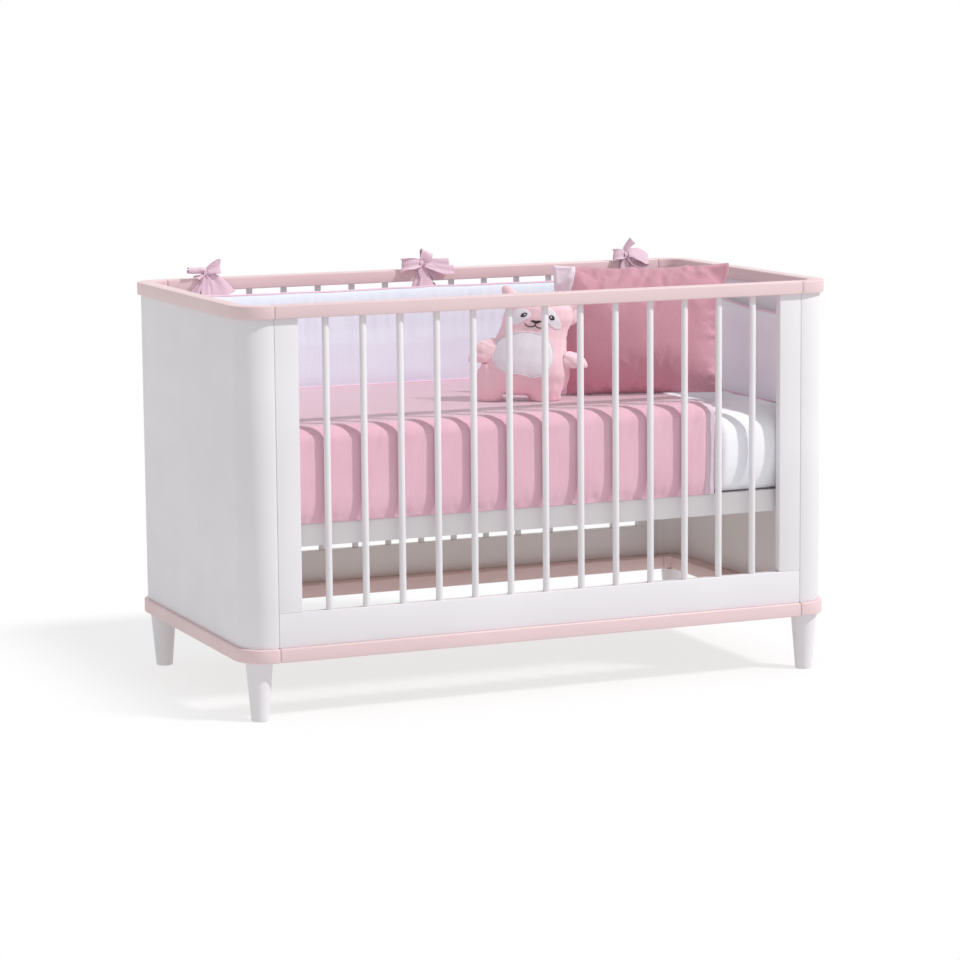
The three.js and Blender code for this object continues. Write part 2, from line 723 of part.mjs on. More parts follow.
/** The stuffed animal, standing on the coverlet beside the cushion. */
function makeToy() {
  const group = new THREE.Group();
  group.rotation.set(0, toyLean, toyTurn, 'ZYX');
  let body = toSolid(toyBody(0));
  const cutter = toSolid(toyBody(fitGap));
  const headMiddle = headShiftShare * toyWidth;
  for (const side of [-1, 1]) {
    const ear = toyLimb(toyEarLength, toyEarWidth, toyEarWidth * earDepthShare);
    ear.rotateY(side * THREE.MathUtils.degToRad(38));
    const earLevel = (earHeightShare - side * earTiltShare) * toyHeight;
    ear.translate(headMiddle + side * earSpreadShare * toyWidth, 0, earLevel);
    body = body.add(toSolid(ear));
  }
  piece('toy_body', toGeometry(body), finishes.toyCotton, group);
  for (const [name, side] of ends) {
    const leg = toyLimb(toyLegLength, toyLegWidth, toyLegWidth * legDepthShare);
    leg.rotateX(Math.PI);
    const legX = legShiftShare * toyWidth + side * (toyWidth / 2 - legInsetShare * toyLegWidth);
    leg.translate(legX, -toyDepth * legForwardShare, toyLegLength);
    piece(`toy_leg_${name}`, toGeometry(toSolid(leg).subtract(cutter)), finishes.toyCotton, group);
    const arm = toyLimb(toyArmLength, toyArmWidth, toyArmWidth * armDepthShare);
    arm.rotateY(side * THREE.MathUtils.degToRad(104));
    arm.translate(side * toyWidth * armSpreadShare, -toyDepth * armForwardShare, toyHeight * armHeightShare);
    piece(`toy_arm_${name}`, toGeometry(toSolid(arm).subtract(cutter)), finishes.toyCotton, group);
  }
  const lowest = new THREE.Box3().setFromObject(group, true).min.z;
  group.position.set(toyPlaceX, toyPlaceY, coverletTop + restGap - lowest);
  bed.add(group);
}

makePlinth();
makeLegs();
makeWalls();
makeTopRail();
makeBase();
makeMattress();
makeCoverlet();
makeBumper();
makeBows();
makeCushion();
makeToy();

export default bed;
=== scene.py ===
"""A toddler bed in a plain studio: lacquered wood with slatted sides, and its bedding.

Metres, +Z up, X along the bed, the front side at -Y, the origin on the floor under the middle.
"""

import logging
import math
from collections.abc import Callable, Iterable, Mapping, Sequence
from dataclasses import dataclass
from enum import Enum

import bmesh
import bpy
from mathutils import Matrix, Vector, noise
from mathutils.bvhtree import BVHTree


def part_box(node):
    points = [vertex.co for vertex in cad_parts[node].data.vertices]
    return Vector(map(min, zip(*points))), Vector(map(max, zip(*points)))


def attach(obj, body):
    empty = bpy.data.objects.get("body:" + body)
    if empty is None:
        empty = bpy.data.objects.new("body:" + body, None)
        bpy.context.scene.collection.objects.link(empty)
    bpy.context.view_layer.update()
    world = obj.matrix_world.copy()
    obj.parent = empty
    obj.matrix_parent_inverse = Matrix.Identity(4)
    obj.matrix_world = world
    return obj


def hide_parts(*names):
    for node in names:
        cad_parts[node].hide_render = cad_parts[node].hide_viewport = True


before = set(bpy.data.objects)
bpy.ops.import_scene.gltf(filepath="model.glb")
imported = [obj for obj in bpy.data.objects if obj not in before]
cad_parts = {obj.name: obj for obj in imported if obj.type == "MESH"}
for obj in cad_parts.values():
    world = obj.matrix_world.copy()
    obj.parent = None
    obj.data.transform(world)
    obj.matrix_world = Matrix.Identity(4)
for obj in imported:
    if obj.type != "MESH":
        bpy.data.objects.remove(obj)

log = logging.getLogger("toddler_bed")

Colour = tuple[float, float, float, float]
Point = tuple[float, float, float]
Spot = tuple[float, float]

MERGE_DISTANCE = 0.00002
FLAT_ANGLE = math.radians(1.0)
SMOOTH_ANGLE = math.radians(38.0)
SHARP_ANGLE = math.radians(30.0)
STRIP_PITCH = 0.0045
CLOTH_WIDTH = 0.036
FAN_WIDTH = 0.068
STRAND_WIDTH = 0.026
QUARTER = math.pi / 2
TAU = 2 * math.pi
WHITE = (1.0, 1.0, 1.0, 1.0)


class Body(Enum):
    """The two rigid bodies of the bed."""

    FRAME = "bed_frame"
    BASE = "mattress_base"


class Slot(Enum):
    """The record's material slots."""

    PINK_LACQUER = "pink_lacquer"
    WHITE_LACQUER = "white_lacquer"
    BASE_WHITE = "base_white"
    PLYWOOD = "plywood"
    WHITE_COTTON = "white_cotton"
    PINK_LINEN = "pink_linen"
    LILAC_COTTON = "lilac_cotton"
    CHECK_COTTON = "check_cotton"
    TOY_COTTON = "toy_cotton"


class Space(Enum):
    """Where a pattern's coordinates come from."""

    OBJECT = "Object"
    UV = "UV"


def srgb(red: int, green: int, blue: int) -> Colour:
    """Turn an 8-bit screen colour into a linear one.

    Args:
        red: Red, 0 to 255.
        green: Green, 0 to 255.
        blue: Blue, 0 to 255.

    Returns:
        The linear colour with full alpha.
    """

    def channel(value: int) -> float:
        """Give one linear channel."""
        share = value / 255
        return share / 12.92 if share <= 0.04045 else ((share + 0.055) / 1.055) ** 2.4

    return (channel(red), channel(green), channel(blue), 1.0)


def blend(low: float, high: float, value: float) -> float:
    """Give a smooth share from 0 at low to 1 at high."""
    share = min(1.0, max(0.0, (value - low) / (high - low)))
    return share * share * (3 - 2 * share)


def wrinkle(place: Vector, pitch: Point, seed: float) -> float:
    """Give smooth noise from -1 to 1 whose hills are pitch long along each axis.

    Args:
        place: A point in metres.
        pitch: The hills' length along x, y and z.
        seed: Shifts the pattern.

    Returns:
        The noise at that point.
    """
    scaled = Vector((place.x / pitch[0] + seed, place.y / pitch[1] - seed, place.z / pitch[2] + 2 * seed))
    return noise.noise(scaled)


class Nodes:
    """A node tree that is put together step by step."""

    def __init__(self, tree: bpy.types.NodeTree) -> None:
        """Take up a tree."""
        self.tree = tree

    def add(
        self, kind: str, inputs: Mapping[str | int, object] | None = None, **settings: object,
    ) -> bpy.types.Node:
        """Add a node.

        Args:
            kind: Blender's name for the node's type.
            inputs: What goes into its sockets, by their names or numbers.
            settings: Its properties.

        Returns:
            The new node.
        """
        node = self.tree.nodes.new(kind)
        for key, value in settings.items():
            setattr(node, key, value)
        for key, value in (inputs or {}).items():
            self.feed(node.inputs[key], value)
        return node

    def feed(self, socket: bpy.types.NodeSocket, value: object) -> None:
        """Link an output into a socket, or set the socket to a plain value.

        Args:
            socket: The input socket.
            value: An output socket, a number or a colour.
        """
        if isinstance(value, bpy.types.NodeSocket):
            self.tree.links.new(value, socket)
        else:
            socket.default_value = value

    def math(
        self, operation: str, first: object, second: object = 0.0, clamp: bool = False,
    ) -> bpy.types.NodeSocket:
        """Calculate with one or two values, each a socket or a number."""
        sums = self.add("ShaderNodeMath", {0: first, 1: second}, operation=operation, use_clamp=clamp)
        return sums.outputs[0]

    def ramp(
        self, value: object, start: float, end: float, low: float, high: float,
    ) -> bpy.types.NodeSocket:
        """Turn a value that runs from start to end into one that runs smoothly from low to high."""
        spans = {"Value": value, "From Min": start, "From Max": end, "To Min": low, "To Max": high}
        return self.add("ShaderNodeMapRange", spans, interpolation_type="SMOOTHSTEP").outputs["Result"]


class Pattern(Nodes):
    """A node material round one Principled shader."""

    def __init__(self, name: str, space: Space = Space.OBJECT) -> None:
        """Start an empty material.

        Args:
            name: The material's name.
            space: Where its patterns' coordinates come from.
        """
        self.material = bpy.data.materials.new(name)
        self.material.use_nodes = True
        super().__init__(self.material.node_tree)
        self.shader = self.tree.nodes["Principled BSDF"]
        self.place = self.add("ShaderNodeTexCoord").outputs[space.value]

    def scaled(self, factors: Point) -> bpy.types.NodeSocket:
        """Give the coordinates, stretched by factors."""
        return self.add("ShaderNodeMapping", {"Vector": self.place, "Scale": factors}).outputs["Vector"]

    def grain(self, factors: Point, detail: float = 2.0) -> bpy.types.NodeSocket:
        """Give noise from 0 to 1 with factors spots a metre along each axis."""
        inputs = {"Vector": self.scaled(factors), "Scale": 1.0, "Detail": detail, "Distortion": 0.0}
        return self.add("ShaderNodeTexNoise", inputs).outputs["Fac"]

    def spread(self, value: object, low: float, high: float) -> bpy.types.NodeSocket:
        """Stretch a 0.3 to 0.7 signal to run from low to high."""
        return self.ramp(value, 0.3, 0.7, low, high)

    def mix(self, share: object, first: object, second: object) -> bpy.types.NodeSocket:
        """Mix two colours by a share."""
        inputs = {"Factor": share, 6: first, 7: second}
        return self.add("ShaderNodeMix", inputs, data_type="RGBA").outputs[2]

    def axes(self) -> tuple[bpy.types.NodeSocket, ...]:
        """Give the coordinates one by one."""
        return tuple(self.add("ShaderNodeSeparateXYZ", {0: self.place}).outputs)

    def weave(self, threads: float) -> bpy.types.NodeSocket:
        """Give a plain weave's height, crossed along all three axes, so that any face shows it.

        Args:
            threads: The threads in a metre.

        Returns:
            The height's socket.
        """
        angles = [self.math("MULTIPLY", axis, threads * TAU / 2) for axis in self.axes()]
        waves = [self.math("SINE", angle) for angle in angles]
        return self.math("ADD", self.math("ADD", waves[0], waves[1]), waves[2])

    def bump(self, height: object, distance: float, strength: float = 1.0) -> None:
        """Raise the surface, over any bump that it already has.

        Args:
            height: The height signal.
            distance: The distance in metres that it is multiplied by.
            strength: How much of it counts.
        """
        node = self.add("ShaderNodeBump", {"Strength": strength, "Distance": distance, "Height": height})
        if self.shader.inputs["Normal"].is_linked:
            self.feed(node.inputs["Normal"], self.shader.inputs["Normal"].links[0].from_socket)
        self.feed(self.shader.inputs["Normal"], node.outputs["Normal"])

    def dress(self, **sockets: object) -> bpy.types.Material:
        """Set the shader's sockets.

        Args:
            sockets: The values by the sockets' names, with spaces written as underscores.

        Returns:
            The material.
        """
        for key, value in sockets.items():
            self.feed(self.shader.inputs[key.replace("_", " ")], value)
        return self.material


@dataclass(frozen=True)
class Lacquer:
    """Satin paint sprayed on wood: a trace of orange peel, faint tone patches and softly rubbed edges."""

    name: str
    colour: Colour
    rubbed: Colour
    roughness: float = 0.42
    patch_share: float = 0.05
    peel_height: float = 0.00006
    edge_span: tuple[float, float] = (0.52, 0.62)
    rub: float = 0.35

    def material(self) -> bpy.types.Material:
        """Build the paint's material.

        Returns:
            The material.
        """
        paint = Pattern(self.name)
        darker = tuple(channel * (1 - self.patch_share) for channel in self.colour[:3]) + (1.0,)
        tone = paint.mix(paint.spread(paint.grain((3.0, 3.0, 5.0), 3.0), 0.0, 1.0), self.colour, darker)
        pointed = paint.add("ShaderNodeNewGeometry").outputs["Pointiness"]
        low, high = self.edge_span
        edge = paint.add(
            "ShaderNodeMapRange", {"Value": pointed, "From Min": low, "From Max": high, "To Max": self.rub})
        tone = paint.mix(edge.outputs["Result"], tone, self.rubbed)
        sheen_patches = paint.grain((14.0, 14.0, 14.0), 3.0)
        roughness = paint.spread(sheen_patches, self.roughness - 0.05, self.roughness + 0.06)
        paint.bump(paint.grain((420.0, 420.0, 420.0), 1.0), self.peel_height, 0.5)
        paint.bump(paint.grain((9.0, 60.0, 9.0)), self.peel_height, 0.4)
        return paint.dress(Base_Color=tone, Roughness=roughness, IOR=1.46)


@dataclass(frozen=True)
class Plywood:
    """Birch plywood: long grain bands with fine pores."""

    name: str = "birch_plywood"
    light: Colour = srgb(214, 184, 142)
    dark: Colour = srgb(178, 141, 98)
    pore_depth: float = 0.0001

    def material(self) -> bpy.types.Material:
        """Build the wood's material.

        Returns:
            The material.
        """
        wood = Pattern(self.name)
        bands = {"Vector": wood.scaled((0.5, 9.0, 9.0)), "Scale": 1.6, "Distortion": 7.0, "Detail": 3.0}
        rings = wood.add("ShaderNodeTexWave", bands, bands_direction="Y")
        pores = wood.spread(wood.grain((60.0, 1400.0, 1400.0)), 0.0, 0.35)
        shade = wood.math("ADD", wood.math("MULTIPLY", rings.outputs["Fac"], 0.6), pores)
        wood.bump(pores, self.pore_depth, 0.6)
        roughness = wood.spread(wood.grain((12.0, 90.0, 12.0)), 0.55, 0.72)
        return wood.dress(Base_Color=wood.mix(shade, self.light, self.dark), Roughness=roughness)


@dataclass(frozen=True)
class Cloth:
    """Woven cotton or linen: crossing threads, slubs along them, soft tone patches and a matt sheen."""

    name: str
    colour: Colour
    shaded: Colour
    threads: float = 900.0
    slub_share: float = 0.12
    weave_height: float = 0.00025
    sheen: float = 0.25
    sheen_spread: float = 0.45
    roughness: float = 0.88

    def material(self) -> bpy.types.Material:
        """Build the cloth's material.

        Returns:
            The material.
        """
        cloth = Pattern(self.name)
        weave = cloth.weave(self.threads)
        slubs_x = cloth.spread(cloth.grain((22.0, 760.0, 760.0)), 0.0, 1.0)
        slubs_z = cloth.spread(cloth.grain((760.0, 760.0, 22.0)), 0.0, 1.0)
        raised = cloth.math("ADD", slubs_x, slubs_z)
        slubs = cloth.math("MULTIPLY", raised, self.slub_share / 2)
        patches = cloth.spread(cloth.grain((11.0, 11.0, 11.0), 3.0), 0.0, 0.35)
        share = cloth.math("ADD", slubs, patches)
        colour = cloth.mix(share, self.colour, self.shaded)
        cloth.bump(weave, self.weave_height, 0.1)
        cloth.bump(raised, self.weave_height, 0.5)
        fibres = cloth.grain((180.0, 180.0, 180.0), 3.0)
        cloth.bump(fibres, self.weave_height * 2, 0.3)
        roughness = cloth.spread(fibres, self.roughness - 0.06, self.roughness + 0.06)
        cloth.dress(Base_Color=colour, Roughness=roughness, Sheen_Weight=self.sheen)
        return cloth.dress(Sheen_Roughness=self.sheen_spread, Specular_IOR_Level=0.25)


@dataclass(frozen=True)
class Gingham:
    """Cotton checked in two crossing bands of a second colour, woven along the piece's own UV map."""

    name: str
    ground: Colour
    band: Colour
    pitch: float = 0.004
    weave_height: float = 0.0003

    def material(self) -> bpy.types.Material:
        """Build the checked cloth's material, for a UV map in metres.

        Returns:
            The material.
        """
        cloth = Pattern(self.name, Space.UV)
        bands = []
        for axis in cloth.axes()[:2]:
            wave = cloth.math("SINE", cloth.math("MULTIPLY", axis, TAU / self.pitch))
            band = cloth.math("ADD", wave, 0.25, clamp=True)
            bands.append(cloth.math("MINIMUM", band, 0.5))
        tone = cloth.mix(cloth.math("ADD", *bands), self.ground, self.band)
        threads = cloth.grain((1100.0, 90.0, 90.0), 1.0)
        crossing = cloth.grain((90.0, 1100.0, 90.0), 1.0)
        cloth.bump(cloth.math("ADD", threads, crossing), self.weave_height, 0.6)
        roughness = cloth.spread(cloth.grain((40.0, 40.0, 40.0)), 0.82, 0.94)
        cloth.dress(Base_Color=tone, Roughness=roughness, Sheen_Weight=0.25)
        return cloth.dress(Sheen_Roughness=0.45, Specular_IOR_Level=0.25)


@dataclass(frozen=True)
class Thread:
    """Embroidery thread laid in satin stitches."""

    name: str
    colour: Colour
    # A second tone mixed into the strands by noise. On the black thread it is lighter, a painted sheen; on
    # the white thread it is darker, a random strand tone.
    painted_sheen_and_strand_tone: Colour
    strand_height: float = 0.0002

    def material(self) -> bpy.types.Material:
        """Build the thread's material.

        Returns:
            The material.
        """
        thread = Pattern(self.name)
        strands = thread.grain((2600.0, 2600.0, 300.0), 1.0)
        tone = thread.mix(thread.spread(strands, 0.0, 1.0), self.colour, self.painted_sheen_and_strand_tone)
        thread.bump(strands, self.strand_height, 0.8)
        roughness = thread.spread(thread.grain((300.0, 300.0, 300.0)), 0.35, 0.5)
        return thread.dress(Base_Color=tone, Roughness=roughness)


@dataclass(frozen=True)
class Steel:
    """Zinc-plated steel with faint turning marks."""

    name: str = "plated_steel"
    colour: Colour = srgb(178, 178, 182)
    marked: Colour = srgb(140, 140, 146)
    mark_depth: float = 0.00003

    def material(self) -> bpy.types.Material:
        """Build the metal's material.

        Returns:
            The material.
        """
        metal = Pattern(self.name)
        marks = metal.grain((90.0, 1500.0, 1500.0))
        tone = metal.mix(metal.spread(marks, 0.0, 0.3), self.colour, self.marked)
        metal.bump(marks, self.mark_depth, 0.5)
        return metal.dress(Base_Color=tone, Roughness=metal.spread(marks, 0.28, 0.42), Metallic=1.0)


class Finishes:
    """All the finishes on the bed, each built once."""

    def __init__(self) -> None:
        """Build the materials."""
        self.pink = Lacquer("pink_lacquer_paint", srgb(231, 204, 206), srgb(239, 218, 218)).material()
        self.white = Lacquer("white_lacquer_paint", srgb(234, 231, 235), srgb(240, 237, 240)).material()
        self.base = Lacquer("base_white_paint", srgb(238, 234, 235), srgb(243, 240, 240), 0.55).material()
        self.plywood = Plywood().material()
        self.steel = Steel().material()
        self.sheet = Cloth("white_sheet_cotton", srgb(248, 248, 252), srgb(238, 238, 246)).material()
        self.linen = Cloth(
            "pink_linen_cloth", srgb(231, 188, 202), srgb(221, 171, 187), 760.0, 0.16, sheen=1.0,
            sheen_spread=0.36).material()
        # The cushion's cloth is the quilt's pink linen made darker: painted shade on its face, which turns
        # away from the key light.
        self.cushion = Cloth(
            "pink_cushion_painted_shade_cloth", srgb(212, 158, 173), srgb(201, 143, 159), 760.0, 0.16, sheen=0.5).material()
        self.bumper = Cloth("lilac_bumper_cotton", srgb(232, 239, 249), srgb(222, 228, 243)).material()
        # The bumper's right arm is the same cotton made lighter: painted light on its inner face, which the
        # key light doesn't reach.
        self.bumper_arm_painted_light = Cloth(
            "lilac_bumper_arm_cotton", srgb(250, 247, 254), srgb(243, 238, 249)).material()
        self.piping = Cloth("pink_piping_cotton", srgb(242, 212, 228), srgb(232, 194, 214)).material()
        self.toy = Cloth(
            "pink_toy_cotton", srgb(250, 217, 225), srgb(243, 200, 211), 820.0, sheen=0.5).material()
        self.patch = Cloth("white_patch_cotton", srgb(244, 242, 248), srgb(234, 230, 240)).material()
        self.check = Gingham("pale_check_cotton", srgb(233, 208, 221), srgb(224, 194, 209)).material()
        self.strip = Gingham(
            "lilac_check_cotton", srgb(228, 209, 221), srgb(221, 198, 213), STRIP_PITCH).material()
        self.pale_strip = Gingham(
            "pale_strip_cotton", srgb(245, 231, 240), srgb(239, 221, 232), STRIP_PITCH).material()
        # The black thread's lighter second tone is painted sheen.
        self.black = Thread("black_thread", srgb(24, 20, 24), srgb(62, 54, 60)).material()
        self.glint = Thread("white_thread", srgb(240, 240, 244), srgb(220, 220, 226)).material()


class Bench:
    """One piece on the work bench: a mesh object shaped with edit-mode tools."""

    def __init__(self, obj: bpy.types.Object) -> None:
        """Take a mesh object onto the bench."""
        self.obj = obj

    @staticmethod
    def clear() -> None:
        """Leave edit mode and select nothing."""
        if bpy.context.object and bpy.context.object.mode != "OBJECT":
            bpy.ops.object.mode_set(mode="OBJECT")
        bpy.ops.object.select_all(action="DESELECT")

    @classmethod
    def added(cls, name: str, add: Callable[..., object], **settings: object) -> "Bench":
        """Add a primitive, with its place put into its mesh.

        Args:
            name: The piece's name.
            add: The operator that adds it.
            settings: The operator's settings.

        Returns:
            The piece on the bench.
        """
        cls.clear()
        add(**settings)
        bpy.ops.object.transform_apply(location=True, rotation=True, scale=True)
        piece = cls(bpy.context.object)
        piece.rename(name)
        return piece

    @classmethod
    def cube(cls, name: str, low: Vector, high: Vector) -> "Bench":
        """Add a block between two corners."""
        place = {"location": (low + high) / 2, "scale": high - low}
        return cls.added(name, bpy.ops.mesh.primitive_cube_add, size=1.0, **place)

    @classmethod
    def grid(cls, name: str, columns: int, rows: int) -> "Bench":
        """Add a flat unit grid, centred on the origin, with a UV map."""
        counts = {"x_subdivisions": columns, "y_subdivisions": rows}
        return cls.added(name, bpy.ops.mesh.primitive_grid_add, size=1.0, **counts)

    @classmethod
    def turned(cls, name: str, foot: Sequence[float], rows: Sequence[Spot], sides: int) -> "Bench":
        """Turn a round piece from its foot up.

        Args:
            name: The piece's name.
            foot: The middle of its foot.
            rows: Pairs of a level and the radius there.
            sides: The number of its sides.

        Returns:
            The piece on the bench.
        """
        disc = {"vertices": sides, "radius": rows[0][1], "fill_type": "NGON", "location": foot}
        piece = cls.added(name, bpy.ops.mesh.primitive_circle_add, **disc)
        piece.open()
        piece.all_faces()
        for (level, radius), (next_level, next_radius) in zip(rows, rows[1:]):
            shift = {"value": (0, 0, next_level - level)}
            bpy.ops.mesh.extrude_region_move(TRANSFORM_OT_translate=shift)
            share = next_radius / radius
            centre = (foot[0], foot[1], next_level)
            bpy.ops.transform.resize(value=(share, share, 1), center_override=centre)
        piece.close()
        return piece

    @classmethod
    def copy_of(cls, node: str, name: str) -> "Bench":
        """Copy a solid of the frame under a new name and join its loose triangles.

        Args:
            node: The solid's name.
            name: The piece's name.

        Returns:
            The piece on the bench.
        """
        cls.clear()
        obj = bpy.data.objects.new(name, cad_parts[node].data.copy())
        obj.data.materials.clear()
        bpy.context.scene.collection.objects.link(obj)
        bench = cls(obj)
        bench.rename(name)
        bench.open()
        bpy.ops.mesh.select_all(action="SELECT")
        bpy.ops.mesh.customdata_custom_splitnormals_clear()
        bpy.ops.mesh.remove_doubles(threshold=MERGE_DISTANCE)
        bench.close()
        return bench

    def twin(self, name: str, shift: Sequence[float]) -> "Bench":
        """Copy the finished piece with its own mesh, moved by shift.

        Args:
            name: The copy's name.
            shift: How far it is moved.

        Returns:
            The copy on the bench.
        """
        obj = self.obj.copy()
        obj.data = self.obj.data.copy()
        bpy.context.scene.collection.objects.link(obj)
        obj.data.transform(Matrix.Translation(shift))
        bench = Bench(obj)
        bench.rename(name)
        return bench

    def activate(self) -> None:
        """Select this piece alone."""
        self.clear()
        self.obj.select_set(True)
        bpy.context.view_layer.objects.active = self.obj

    def open(self) -> None:
        """Enter edit mode with nothing selected."""
        self.activate()
        bpy.ops.object.mode_set(mode="EDIT")
        bpy.ops.mesh.select_mode(type="VERT")
        bpy.ops.mesh.select_all(action="DESELECT")

    def close(self) -> None:
        """Leave edit mode."""
        bpy.ops.object.mode_set(mode="OBJECT")

    def pick(self, kind: str, chosen: Callable[[bmesh.types.BMesh], Iterable]) -> None:
        """Select some faces or edges of the open mesh.

        Args:
            kind: FACE or EDGE.
            chosen: Gives the ones to select.
        """
        bpy.ops.mesh.select_all(action="DESELECT")
        bpy.ops.mesh.select_mode(type=kind)
        mesh = bmesh.from_edit_mesh(self.obj.data)
        for part in chosen(mesh):
            part.select_set(True)
        bmesh.update_edit_mesh(self.obj.data)

    def all_faces(self) -> None:
        """Select every face."""
        self.pick("FACE", lambda mesh: list(mesh.faces))

    def edges(self, test: Callable[[Vector, Vector], bool]) -> None:
        """Select the edges whose two ends pass a test."""
        self.pick("EDGE", lambda mesh: [edge for edge in mesh.edges if test(*(v.co for v in edge.verts))])

    def rename(self, name: str) -> None:
        """Give the piece and its mesh a name."""
        self.obj.name = name
        self.obj.data.name = name

    def measure(self, width: float, length: float) -> None:
        """Stretch the unit UV map to metres."""
        for corner in self.obj.data.uv_layers[0].data:
            corner.uv = (corner.uv[0] * width, corner.uv[1] * length)

    def second_cloth(self, test: Callable[[Vector], bool]) -> None:
        """Give the faces whose middle passes a test the second material."""
        for face in self.obj.data.polygons:
            face.material_index = 1 if test(face.center) else 0

    def modify(self, kind: str, **settings: object) -> None:
        """Add a modifier, set it and apply it.

        Args:
            kind: The modifier's type.
            settings: Its properties.
        """
        self.activate()
        bpy.ops.object.modifier_add(type=kind)
        modifier = self.obj.modifiers[-1]
        for key, value in settings.items():
            setattr(modifier, key, value)
        bpy.ops.object.modifier_apply(modifier=modifier.name)

    def subdivide(self, levels: int) -> None:
        """Round the piece with a subdivision surface."""
        self.modify("SUBSURF", levels=levels, render_levels=levels)

    def remesh(self, size: float) -> None:
        """Rebuild the skin in even squares of a size.

        Args:
            size: The side of a square.
        """
        self.activate()
        self.obj.data.remesh_voxel_size = size
        self.obj.data.remesh_voxel_adaptivity = 0.0
        bpy.ops.object.voxel_remesh()

    def sculpt(self, move: Callable[[Vector, Vector], Vector]) -> None:
        """Move every point to where a function of its place and normal puts it.

        Args:
            move: Gives a point's new place.
        """
        mesh = self.obj.data
        places = [(vertex.co.copy(), vertex.normal.copy()) for vertex in mesh.vertices]
        for vertex, (place, normal) in zip(mesh.vertices, places):
            vertex.co = move(place, normal)
        mesh.update()

    def join(self, others: Iterable["Bench"]) -> None:
        """Make other pieces a part of this one.

        Args:
            others: The pieces that become a part of it.
        """
        self.activate()
        for other in others:
            other.obj.select_set(True)
        bpy.ops.object.join()

    def soft_edges(self, width: float, segments: int = 3) -> None:
        """Round every sharp edge by a width.

        Args:
            width: The rounding's width.
            segments: Its steps.
        """
        self.open()
        bpy.ops.mesh.select_all(action="SELECT")
        bpy.ops.mesh.dissolve_limited(angle_limit=FLAT_ANGLE)
        self.close()
        self.modify(
            "BEVEL", width=width, segments=segments, limit_method="ANGLE", angle_limit=SHARP_ANGLE,
            harden_normals=False, use_clamp_overlap=True)

    def outward(self) -> None:
        """Merge doubles and make all faces look outwards."""
        self.open()
        bpy.ops.mesh.select_all(action="SELECT")
        bpy.ops.mesh.remove_doubles(threshold=MERGE_DISTANCE)
        bpy.ops.mesh.normals_make_consistent(inside=False)
        self.close()

    def smooth(self, angle: float = SMOOTH_ANGLE) -> None:
        """Shade the piece smooth, except over sharp edges."""
        self.activate()
        bpy.ops.object.shade_smooth_by_angle(angle=angle)

    def finish(
        self, body: Body, slot: Slot | None, materials: Iterable[bpy.types.Material],
        nodes: Iterable[str] = (),
    ) -> bpy.types.Object:
        """Dress the piece, let it ride on its body and hide the solids that it stands for.

        Args:
            body: The body that carries it.
            slot: The record's slot that its finish comes from, if it has one; not used.
            materials: Its materials, in the order of its faces' material numbers.
            nodes: The frame's solids that it stands for.

        Returns:
            The finished object.
        """
        self.clear()
        if not self.obj.data.materials:
            for material in materials:
                self.obj.data.materials.append(material)
        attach(self.obj, body.value)
        if nodes:
            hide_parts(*nodes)
        faces = len(self.obj.data.polygons)
        log.info("%s: %d faces, rides on %s", self.obj.name, faces, body.value)
        return self.obj


